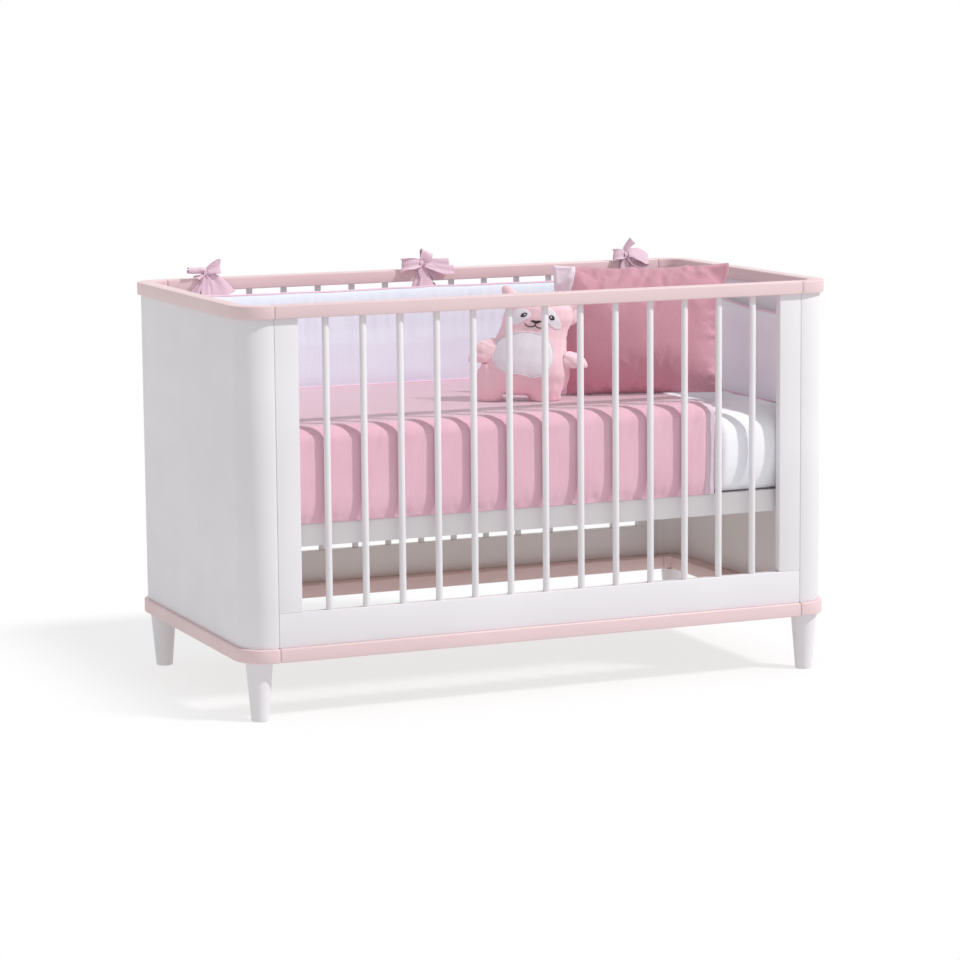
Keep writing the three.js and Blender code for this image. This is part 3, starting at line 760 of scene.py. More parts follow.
@dataclass
class Woodwork:
    """The lacquered frame: plinth, legs, bent end panels, boards, stiles, slats and top rail."""

    finishes: Finishes
    rail_edge: float = 0.0022
    plinth_edge: float = 0.0026
    panel_edge: float = 0.0012
    slat_edge: float = 0.0006
    slat_sides: int = 32
    slats_a_side: int = 13
    leg_sides: int = 48
    leg_foot_rounding: float = 0.003
    taper_share: float = 1 / 2.75
    leg_top_edge: float = 0.0008
    foot_steps: int = 5

    def build(self) -> None:
        """Build all the woodwork."""
        self.lacquered_boards()
        self.slats()
        self.legs()

    def lacquered_boards(self) -> None:
        """Round the edges of the flat and bent boards and paint them."""
        pink = (self.finishes.pink, Slot.PINK_LACQUER)
        white = (self.finishes.white, Slot.WHITE_LACQUER)
        groups = [
            (("plinth_left_end", "plinth_right_end", "plinth_front_rail", "plinth_back_rail"),
             self.plinth_edge, pink),
            (("top_rail_left_end", "top_rail_right_end", "top_rail_front", "top_rail_back"),
             self.rail_edge, pink),
            (("end_panel_left", "end_panel_right", "lower_board_front", "lower_board_back"),
             self.panel_edge, white),
            (("stile_front_left", "stile_front_right", "stile_back_left", "stile_back_right"),
             self.panel_edge, white),
        ]
        for nodes, edge, (material, slot) in groups:
            for node in nodes:
                board = Bench.copy_of(node, f"{node}_board")
                board.soft_edges(edge)
                board.smooth()
                board.finish(Body.FRAME, slot, [material], [node])

    def slats(self) -> None:
        """Turn one slat and copy it along both sides."""
        first = "slat_front_1"
        low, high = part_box(first)
        middle = (low + high) / 2
        radius = (high.x - low.x) / 2
        rows = ((low.z, radius), (high.z, radius))
        slat = Bench.turned(f"{first}_bar", (middle.x, middle.y, low.z), rows, self.slat_sides)
        slat.outward()
        slat.soft_edges(self.slat_edge, 2)
        slat.smooth()
        for side in ("front", "back"):
            for number in range(1, self.slats_a_side + 1):
                node = f"slat_{side}_{number}"
                bottom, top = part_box(node)
                shift = (bottom + top) / 2 - middle
                bar = slat if node == first else slat.twin(f"{node}_bar", shift)
                bar.finish(Body.FRAME, Slot.WHITE_LACQUER, [self.finishes.white], [node])

    def leg_profile(self, low: Vector, high: Vector) -> list[Spot]:
        """Give the leg's radius at each height, from its rounded foot up.

        Args:
            low: The leg's lowest corner.
            high: The leg's highest corner.

        Returns:
            Pairs of height and radius.
        """
        top_radius = (high.x - low.x) / 2
        foot_radius = top_radius * (1 - self.taper_share)
        rounding = self.leg_foot_rounding
        rows = []
        for step in range(self.foot_steps + 1):
            angle = QUARTER * step / self.foot_steps
            radius = foot_radius - rounding * (1 - math.sin(angle))
            rows.append((low.z + rounding * (1 - math.cos(angle)), radius))
        rows.append((high.z - self.leg_top_edge, top_radius - self.leg_top_edge / 4))
        rows.append((high.z, top_radius - self.leg_top_edge))
        return rows

    def legs(self) -> None:
        """Turn one tapered leg and copy it to the four corners."""
        first = "leg_front_left"
        low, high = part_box(first)
        middle = (low + high) / 2
        rows = self.leg_profile(low, high)
        leg = Bench.turned(f"{first}_turned", (middle.x, middle.y, low.z), rows, self.leg_sides)
        leg.outward()
        leg.smooth()
        for node in (first, "leg_back_left", "leg_front_right", "leg_back_right"):
            bottom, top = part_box(node)
            shift = (bottom + top) / 2 - middle
            turned = leg if node == first else leg.twin(f"{node}_turned", shift)
            turned.finish(Body.FRAME, Slot.WHITE_LACQUER, [self.finishes.white], [node])


@dataclass
class MattressBase:
    """The base that the mattress lies on: a painted frame and a slotted plywood deck."""

    finishes: Finishes
    frame_edge: float = 0.0018
    deck_edge: float = 0.001

    def build(self) -> None:
        """Round the edges of the frame and the deck and dress them."""
        rim = Bench.copy_of("base_frame", "base_frame_board")
        rim.soft_edges(self.frame_edge)
        rim.smooth()
        rim.finish(Body.BASE, Slot.BASE_WHITE, [self.finishes.base], ["base_frame"])
        deck = Bench.copy_of("base_deck", "base_deck_board")
        deck.soft_edges(self.deck_edge, 2)
        deck.smooth()
        deck.finish(Body.BASE, Slot.PLYWOOD, [self.finishes.plywood], ["base_deck"])


@dataclass
class BaseBolts:
    """The four bolts that clamp the base's end walls to the end panels at one of its heights."""

    finishes: Finishes
    head_radius: float = 0.0054
    head_height: float = 0.0033
    dome_steps: int = 4
    flat_share: float = 0.62
    socket_radius: float = 0.0024
    socket_depth: float = 0.0019
    socket_edge: float = 0.0001
    shank_radius: float = 0.003
    shank_length: float = 0.0205
    wall: float = 0.022
    level: float = 0.0075
    places: tuple[float, float] = (-0.2, 0.2)
    sides: int = 24

    def build(self) -> None:
        """Turn one bolt and screw a copy of it into each place in both end walls."""
        low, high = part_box("base_frame")
        master = self.turned()
        for side, way, wall_x in (("left", 1, low.x + self.wall), ("right", -1, high.x - self.wall)):
            for number, y in enumerate(self.places, 1):
                bolt = master.twin(f"base_bolt_{side}_{number}", (0, 0, 0))
                seat = Matrix.Translation((wall_x, y, low.z + self.level))
                bolt.obj.data.transform(seat @ Matrix.Rotation(way * QUARTER, 4, "Y"))
                bolt.finish(Body.BASE, None, [self.finishes.steel])
        bpy.data.objects.remove(master.obj)

    def turned(self) -> Bench:
        """Turn one bolt on its own axis, with its head's seat at the origin and its head up.

        Returns:
            The bolt on the bench.
        """
        rows = [(-self.shank_length, self.shank_radius), (0.0, self.shank_radius), (0.0, self.head_radius)]
        for step in range(self.dome_steps + 1):
            angle = QUARTER * step / self.dome_steps
            dome = self.flat_share + (1 - self.flat_share) * math.cos(angle)
            rows.append((self.head_height * (1 + math.sin(angle)) / 2, self.head_radius * dome))
        top = self.head_height
        rows.append((top, self.socket_radius + self.socket_edge))
        rows.append((top - self.socket_edge, self.socket_radius))
        rows.append((top - self.socket_depth, self.socket_radius))
        bolt = Bench.turned("base_bolt", (0, 0, -self.shank_length), rows, self.sides)
        bolt.sculpt(lambda place, normal: self.six_sided(place))
        bolt.outward()
        bolt.smooth()
        return bolt

    def six_sided(self, place: Vector) -> Vector:
        """Draw the socket's round wall in to six flats.

        Args:
            place: A point of the bolt.

        Returns:
            Its new place.
        """
        if place.z <= 0 or place.xy.length > self.socket_radius + 2 * self.socket_edge:
            return place
        sector = TAU / 6
        off = math.atan2(place.y, place.x) % sector - sector / 2
        share = math.cos(sector / 2) / math.cos(off)
        return Vector((place.x * share, place.y * share, place.z))


@dataclass
class Mattress:
    """The mattress in its white fitted sheet, drawn tight over round edges and gathered at the corners."""

    finishes: Finishes
    corner_radius: float = 0.048
    edge_radius: float = 0.036
    foot_radius: float = 0.005
    edge_segments: int = 6
    cell: float = 0.0065
    draw_in: float = 0.003
    puff: float = 0.0035
    front_puff: float = 0.0115
    free_puff: float = 0.0195
    low_share: float = 0.3
    free_from: tuple[float, float] = (0.386, 0.412)
    free_to: tuple[float, float] = (0.585, 0.525)
    gather: float = 0.0026
    gather_pitch: Point = (0.016, 0.016, 0.12)
    hem_gather: float = 0.0014
    hem_pitch: Point = (0.011, 0.011, 0.03)
    hem_height: float = 0.055
    corner_reach: float = 0.13
    crease: float = 0.0012
    crease_pitch: Point = (0.05, 0.11, 0.06)
    top_droop: float = 0.002
    droop_reach: float = 0.12
    end_fold: float = 0.0042
    end_reach: float = 0.24
    end_calm: float = 0.03
    end_top_pitch: Point = (0.045, 0.3, 0.2)
    end_side_pitch: Point = (0.03, 0.03, 0.2)

    def build(self) -> None:
        """Model the mattress as one closed skin."""
        low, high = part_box("mattress")
        inset = Vector((self.draw_in, self.draw_in, 0))
        block = Bench.cube("mattress_in_sheet", low + inset, high - inset)
        block.open()
        block.edges(lambda a, b: abs(a.x - b.x) < MERGE_DISTANCE and abs(a.y - b.y) < MERGE_DISTANCE)
        bpy.ops.mesh.bevel(offset=self.corner_radius, segments=self.edge_segments)
        middle = (low.z + high.z) / 2
        block.edges(lambda a, b: a.z > middle and b.z > middle)
        bpy.ops.mesh.bevel(offset=self.edge_radius, segments=self.edge_segments)
        block.edges(lambda a, b: max(a.z, b.z) < low.z + MERGE_DISTANCE)
        bpy.ops.mesh.bevel(offset=self.foot_radius, segments=self.edge_segments)
        block.close()
        block.remesh(self.cell)
        block.sculpt(lambda place, normal: self.drawn(place, normal, low, high))
        block.smooth(math.pi)
        block.finish(Body.BASE, Slot.WHITE_COTTON, [self.finishes.sheet], ["mattress"])

    def drawn(self, place: Vector, normal: Vector, low: Vector, high: Vector) -> Vector:
        """Move one point of the skin to where the stretched sheet holds it.

        Args:
            place: The point.
            normal: The skin's direction there.
            low: The mattress's lowest corner.
            high: The mattress's highest corner.

        Returns:
            The point's new place.
        """
        height = (place.z - low.z) / (high.z - low.z)
        side = 1 - abs(normal.z)
        free = blend(*self.free_from, place.x) * blend(*self.free_to, place.x)
        front = blend(0.3, 0.9, -normal.y)
        puff = self.puff + (self.front_puff - self.puff) * front
        round_share = max(0.0, math.sin(math.pi * height))
        free_share = (self.low_share + (1 - self.low_share) * round_share) ** 0.3
        out = side * (puff * round_share ** 0.6 + self.free_puff * free * front * free_share)
        to_end = min(high.x - place.x, place.x - low.x)
        to_side = min(high.y - place.y, place.y - low.y)
        corner = blend(self.corner_reach, 0.0, max(to_end, to_side))
        out -= self.gather * corner * side * (0.5 + 0.5 * wrinkle(place, self.gather_pitch, 3.1))
        hem = blend(self.hem_height, 0.0, place.z - low.z) * side
        out -= self.hem_gather * hem * (1 + wrinkle(place, self.hem_pitch, 7.7))
        creases = wrinkle(place + 0.5 * Vector((place.y, place.x, 0)), self.crease_pitch, 1.3)
        out -= self.crease * (0.35 + 0.65 * corner) * abs(creases)
        slanted = Vector((place.x + 0.8 * place.y, place.y, place.z))
        end = self.end_fold * blend(self.end_reach, self.end_calm, high.x - place.x)
        out -= end * max(0.0, wrinkle(slanted, self.end_top_pitch, 5.4) - 0.05)
        out -= end * side * max(0.0, wrinkle(place, self.end_side_pitch, 9.4))
        moved = place + normal * out
        droop = blend(self.droop_reach, 0.0, to_end) + blend(self.droop_reach, 0.0, to_side)
        moved.z -= self.top_droop * droop * blend(0.6, 1.0, height)
        moved.z = max(moved.z, low.z)
        return moved


@dataclass
class Coverlet:
    """A light quilt over the left part of the mattress, drawn over its front edge and tucked under it."""

    finishes: Finishes
    front_reach: float = 0.3294
    top_radius: float = 0.032
    tuck_depth: float = 0.0100
    tuck_height: float = 0.058
    tuck_power: float = 2.0
    back_share: float = 0.02
    tuck_end: float = 0.0034
    columns: int = 240
    rows: int = 205
    thickness: float = 0.0145
    thin_share: float = 0.3
    thin_width: float = 0.03
    rest_width: float = 0.04
    strip_width: float = 0.0215
    seam_depth: float = 0.0012
    seam_width: float = 0.0028
    calm_span: tuple[float, float] = (0.04, 0.12)
    swell: float = 0.0012
    swell_pitch: Point = (0.15, 0.2, 1.0)
    front_lead: float = 0.02
    folds: float = 0.0011
    fold_pitch: Point = (0.06, 0.4, 1.0)
    ridges: float = 0.0028
    ridge_reach: float = 0.05
    ridge_pitch: Point = (0.024, 0.11, 1.0)
    hem_gather: float = 0.0040
    hem_span: tuple[float, float] = (0.05, 0.012)
    low_span: tuple[float, float] = (0.09, 0.02)
    flat_span: tuple[float, float] = (0.010, 0.004)
    hem_pitch: Point = (0.017, 0.06, 1.0)
    low_pitch: Point = (0.05, 0.12, 1.0)
    fine_pitch: Point = (0.008, 0.03, 1.0)
    streaks: float = 0.0009
    streak_span: tuple[float, float] = (0.3, 0.48)
    streak_bend: float = 0.02
    streak_pitch: Point = (0.28, 0.009, 1.0)
    edge_wave: float = 0.0012
    edge_reach: float = 0.05

    def build(self) -> None:
        """Drape a grid over the mattress, thicken it and sew the pale strip to its right edge."""
        self.low, self.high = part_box("coverlet")
        self.top = self.high.z
        self.flat_depth = self.high.y + self.front_reach - self.top_radius
        self.roll = self.top_radius * QUARTER
        self.tuck = (self.tuck_depth + self.tuck_height) / 2 * QUARTER
        tuck_top = self.low.z - self.tuck_end + self.tuck_height
        self.drop = self.top - self.top_radius - tuck_top
        self.length = self.flat_depth + self.roll + self.drop + self.tuck
        self.width = self.high.x - self.low.x
        quilt = Bench.grid("coverlet_quilt", self.columns, self.rows)
        quilt.measure(self.width, self.length)
        seam = (self.width - self.strip_width) / self.width - 0.5
        quilt.second_cloth(lambda middle: middle.x > seam)
        weights = quilt.obj.vertex_groups.new(name="thickness")
        for vertex in quilt.obj.data.vertices:
            across = (vertex.co.x + 0.5) * self.width
            along = (0.5 - vertex.co.y) * self.length
            weights.add([vertex.index], self.fullness(across, along), "REPLACE")
        quilt.sculpt(lambda place, normal: self.draped(place))
        quilt.modify(
            "SOLIDIFY", thickness=self.thickness, offset=-1.0, vertex_group="thickness",
            use_even_offset=True)
        quilt.smooth(math.radians(50))
        quilt.finish(
            Body.BASE, Slot.PINK_LINEN, [self.finishes.linen, self.finishes.strip], ["coverlet"])
        log.info("coverlet: cut %.3f m wide and %.3f m long", self.width, self.length)

    def fullness(self, across: float, along: float) -> float:
        """Give the share of the full thickness: thin at the sewn edges."""
        inset = min(across, self.width - across, along + self.back_share, self.length - along)
        return self.thin_share + (1 - self.thin_share) * blend(0.0, self.thin_width, inset)

    def section(self, along: float) -> tuple[float, float, Vector]:
        """Follow the cut from the back edge over the top, down the front and under the mattress.

        Args:
            along: The distance from the back edge.

        Returns:
            The y and z there, and the outward direction.
        """
        if along < self.flat_depth:
            return self.high.y - along, self.top, Vector((0, 0, 1))
        along -= self.flat_depth
        centre_y = -(self.front_reach - self.top_radius)
        centre_z = self.top - self.top_radius
        if along < self.roll:
            angle = along / self.top_radius
            out = Vector((0, -math.sin(angle), math.cos(angle)))
            return centre_y + out.y * self.top_radius, centre_z + out.z * self.top_radius, out
        along -= self.roll
        if along < self.drop:
            return -self.front_reach, centre_z - along, Vector((0, -1, 0))
        angle = (along - self.drop) / self.tuck * QUARTER
        forward = max(0.0, math.cos(angle)) ** (2 / self.tuck_power)
        down = max(0.0, math.sin(angle)) ** (2 / self.tuck_power)
        y = -self.front_reach + (1 - forward) * self.tuck_depth
        z = centre_z - self.drop - down * self.tuck_height
        return y, z, Vector((0, -forward, -0.5 * down)).normalized()

    def relief(self, x: float, along: float) -> float:
        """Give the cloth's swells, folds, pulled ridges and gathers at a place.

        Args:
            x: The place along the bed.
            along: The distance from the back edge.

        Returns:
            How far the cloth stands out, zero or less.
        """
        bend = self.flat_depth + self.roll
        front = blend(self.flat_depth - self.front_lead, bend, along)
        roll = front * blend(bend + self.ridge_reach, self.flat_depth + self.ridge_reach, along)
        hem = blend(*(self.length - reach for reach in self.hem_span), along)
        low = blend(*(self.length - reach for reach in self.low_span), along)
        flat = blend(*(self.length - reach for reach in self.flat_span), along)
        calm = blend(*self.calm_span, along)
        place = Vector((x, along, 0))
        slanted = Vector((x + 0.35 * along, along, 0))
        out = self.swell * calm * (wrinkle(place, self.swell_pitch, 2.0) - 0.35)
        out += self.folds * front * (wrinkle(place, self.fold_pitch, 5.0) - 0.3)
        out -= self.ridges * roll * max(0.0, wrinkle(slanted, self.ridge_pitch, 9.0)) * 1.5
        out -= self.hem_gather * hem * max(0.0, wrinkle(place, self.hem_pitch, 4.0) + 0.15)
        out -= self.hem_gather * low * max(0.0, wrinkle(slanted, self.low_pitch, 14.0))
        out -= 0.5 * self.hem_gather * hem * max(0.0, wrinkle(place, self.fine_pitch, 12.0))
        out *= 1 - 0.85 * flat
        bent = Vector((x, along + self.streak_bend * math.sin(5 * x), 0))
        streaked = self.streaks * calm * (1 - front) * blend(*self.streak_span, along)
        out -= streaked * max(0.0, wrinkle(bent, self.streak_pitch, 6.0))
        return min(out, 0.0)

    def draped(self, flat: Vector) -> Vector:
        """Give where a point of the flat unit grid lies once the quilt is on the bed.

        Args:
            flat: A point of the unit grid.

        Returns:
            Its place on the bed.
        """
        across = (flat.x + 0.5) * self.width
        along = (0.5 - flat.y) * self.length
        x = self.low.x + across
        y, z, out = self.section(along)
        full = self.fullness(across, along)
        sink = self.thickness * (1 - full)
        rest = blend(self.length - self.rest_width, self.length - self.rest_width / 4, along)
        rise = self.relief(x, along) - 0.8 * sink * (1 - rest)
        seam = abs(across - (self.width - self.strip_width))
        rise -= self.seam_depth * blend(self.seam_width, 0.0, seam)
        to_edge = blend(self.width - self.edge_reach, self.width, across)
        x += self.edge_wave * math.sin(along * 23) * to_edge
        return Vector((x, y, z)) + out * rise


@dataclass
class Cushion:
    """A stuffed cushion: two panels sewn round their edge and blown up by a cloth simulation."""

    finishes: Finishes
    width: float = 0.372
    height: float = 0.278
    thickness: float = 0.112
    lean: float = math.radians(6)
    turn: float = math.radians(-19)
    place_x: float = 0.321
    place_y: float = -0.118
    columns: int = 84
    rows: int = 62
    start_gap: float = 0.003
    start_share: float = 0.8
    pull_x: float = 0.022
    pull_z: float = 0.05
    pressure: float = 2.6
    spare_cloth: float = -0.06
    steps: int = 24
    strip_columns: int = 10
    strip_top: float = 0.125
    strip_low: float = 0.062
    narrow_foot: float = 0.085
    top_dip: float = 0.003
    mass: float = 0.2
    stretch_stiffness: float = 18.0
    shear_stiffness: float = 6.0
    bending_stiffness: float = 0.05
    air_damping: float = 3.0
    fold_share: float = 0.7
    folds: tuple[tuple[float, float, float, float, float, float], ...] = (
        (-0.09, 0.98, -0.36, 0.60, 0.013, 0.0050), (0.215, 0.92, -0.05, 0.66, 0.012, 0.0044),
        (0.52, 0.98, 0.47, 0.70, 0.010, 0.0046), (0.67, 0.86, 0.93, 0.96, 0.012, 0.0040),
        (-0.60, 0.97, -0.86, 0.72, 0.012, 0.0040), (0.62, 0.45, 0.86, 0.02, 0.020, 0.0030),
        (0.30, 0.97, 0.34, 0.80, 0.009, 0.0030), (0.05, 0.98, 0.02, 0.86, 0.008, 0.0026),
        (0.98, -0.10, 0.66, -0.06, 0.008, 0.0026), (0.98, -0.55, 0.70, -0.50, 0.009, 0.0028),
        (0.95, -0.86, 0.62, -0.78, 0.010, 0.0030), (-0.95, -0.80, -0.60, -0.66, 0.012, 0.0030),
        (-0.30, -0.97, -0.38, -0.72, 0.010, 0.0024), (0.25, -0.97, 0.16, -0.76, 0.010, 0.0024))
    seat_gap: float = 0.0006
    seat_press: float = 0.006
    ripple: float = 0.0012
    ripple_pitch: Point = (0.022, 0.022, 0.022)

    def build(self) -> None:
        """Sew, fill and place the cushion."""
        pad = Bench.grid("cushion_cover", self.columns, self.rows)
        seam = pad.obj.vertex_groups.new(name="seam")
        for vertex in pad.obj.data.vertices:
            if max(abs(vertex.co.x), abs(vertex.co.y)) > 0.5 - MERGE_DISTANCE:
                seam.add([vertex.index], 1.0, "REPLACE")
        pad.measure(self.width, self.height)
        pad.second_cloth(lambda middle: middle.x < self.strip_columns / self.columns - 0.5)
        pad.obj.data.transform(Matrix.Diagonal((self.width, self.height, 1, 1)))
        pad.modify("SOLIDIFY", thickness=self.start_gap, offset=0.0)
        pad.obj.data.transform(Matrix.Rotation(QUARTER, 4, "X"))
        pad.sculpt(lambda place, normal: self.swollen(place))
        self.inflate(pad)
        self.fit(pad)
        pad.subdivide(1)
        pad.sculpt(lambda place, normal: self.creased(place, normal))
        turned = Matrix.Rotation(self.turn, 4, "Z") @ Matrix.Rotation(-self.lean, 4, "X")
        pad.obj.data.transform(turned)
        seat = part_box("cushion")[0].z
        lowest = min(vertex.co.z for vertex in pad.obj.data.vertices)
        level = seat - lowest - self.seat_press
        pad.obj.data.transform(Matrix.Translation((self.place_x, self.place_y, level)))
        pad.sculpt(lambda place, normal: self.seated(place, seat))
        pad.smooth(math.pi)
        # The cover wears the darker cushion cloth, which is painted shade.
        pad.finish(
            Body.BASE, Slot.PINK_LINEN, [self.finishes.cushion, self.finishes.pale_strip], ["cushion"])

    def swollen(self, place: Vector) -> Vector:
        """Give the flat cover its first belly and draw its edges in a little between the corners.

        Args:
            place: A point of the flat cover.

        Returns:
            Its new place.
        """
        up = place.z / (self.height / 2)
        split = self.strip_columns / self.columns
        seam = self.strip_low + (self.strip_top - self.strip_low) * blend(0.1, 1.0, up)
        column = place.x / self.width + 0.5
        if column < split:
            column *= seam / split
        else:
            column = seam + (column - split) / (1 - split) * (1 - seam)
        across = 2 * column - 1
        swell = max(0.0, (1 - abs(across) ** 3.4) * (1 - abs(up) ** 3.4)) ** 0.55
        side = -1 if place.y < 0 else 1
        ripples = self.ripple * swell * wrinkle(place, self.ripple_pitch, 5.0 + side)
        depth = self.start_gap / 2 + swell * self.start_share * self.thickness / 2 + ripples
        x = across * self.width / 2 * (1 - self.pull_x * (1 - up * up))
        z = place.z * (1 - self.pull_z * (1 - across * across))
        return Vector((x, side * depth, z))

    def creased(self, place: Vector, normal: Vector) -> Vector:
        """Draw the foot of the right side in, let the top dip and press the folds into the cover.

        Args:
            place: A point of the filled cover.
            normal: The cover's direction there.

        Returns:
            Its new place.
        """
        across = place.x / (self.width / 2)
        up = place.z / (self.height / 2)
        out = 0.0
        for x0, z0, x1, z1, width, height in self.folds:
            start = Vector((x0 * self.width / 2, z0 * self.height / 2))
            line = Vector((x1 * self.width / 2, z1 * self.height / 2)) - start
            spot = Vector((place.x, place.z)) - start
            along = min(1.0, max(0.0, spot.dot(line) / line.length_squared))
            away = (spot - line * along).length
            fade = (1 - along) ** 0.7
            reach = width * (0.6 + 0.6 * along)
            ridge = math.exp(-(away / reach) ** 2)
            valley = math.exp(-((away - 1.7 * reach) / reach) ** 2)
            out += self.fold_share * height * fade * (ridge - 0.55 * valley)
        inner = blend(1.0, 0.9, abs(up)) * blend(1.0, 0.95, abs(across))
        moved = place + normal * (out * inner)
        if across > 0:
            moved.x -= self.narrow_foot * self.width / 2 * across * blend(0.95, 0.35, up)
        dips = abs(math.sin(5.5 * across + 0.4)) * (1 - across ** 4)
        moved.z -= self.top_dip * max(0.0, up) ** 3 * dips
        return moved

    def inflate(self, pad: Bench) -> None:
        """Blow the sewn cover up with the cloth simulation, held along its seam.

        Args:
            pad: The sewn cover.
        """
        pad.activate()
        bpy.ops.object.modifier_add(type="CLOTH")
        cloth = pad.obj.modifiers[-1]
        cloth.settings.vertex_group_mass = "seam"
        cloth.settings.use_pressure = True
        cloth.settings.uniform_pressure_force = self.pressure
        cloth.settings.shrink_min = self.spare_cloth
        cloth.settings.effector_weights.gravity = 0.0
        cloth.settings.quality = 6
        cloth.settings.mass = self.mass
        cloth.settings.tension_stiffness = self.stretch_stiffness
        cloth.settings.compression_stiffness = self.stretch_stiffness
        cloth.settings.shear_stiffness = self.shear_stiffness
        cloth.settings.bending_stiffness = self.bending_stiffness
        cloth.settings.air_damping = self.air_damping
        cloth.point_cache.frame_start = 1
        cloth.point_cache.frame_end = self.steps
        scene = bpy.context.scene
        for step in range(1, self.steps + 1):
            scene.frame_set(step)
        bpy.ops.object.modifier_apply(modifier=cloth.name)
        scene.frame_set(1)

    def fit(self, pad: Bench) -> None:
        """Bring the filled cover to the cushion's real size.

        Args:
            pad: The filled cover.
        """
        points = [vertex.co for vertex in pad.obj.data.vertices]
        spans = [max(p[axis] for p in points) - min(p[axis] for p in points) for axis in range(3)]
        log.info("cushion: filled cover spans %.3f x %.3f x %.3f m", *spans)
        sizes = (self.width, self.thickness, self.height)
        factors = [size / span for size, span in zip(sizes, spans)]
        pad.obj.data.transform(Matrix.Diagonal((*factors, 1)))

    def seated(self, place: Vector, seat: float) -> Vector:
        """Flatten the cover where it rests on the coverlet."""
        return Vector((place.x, place.y, max(place.z, seat + self.seat_gap)))


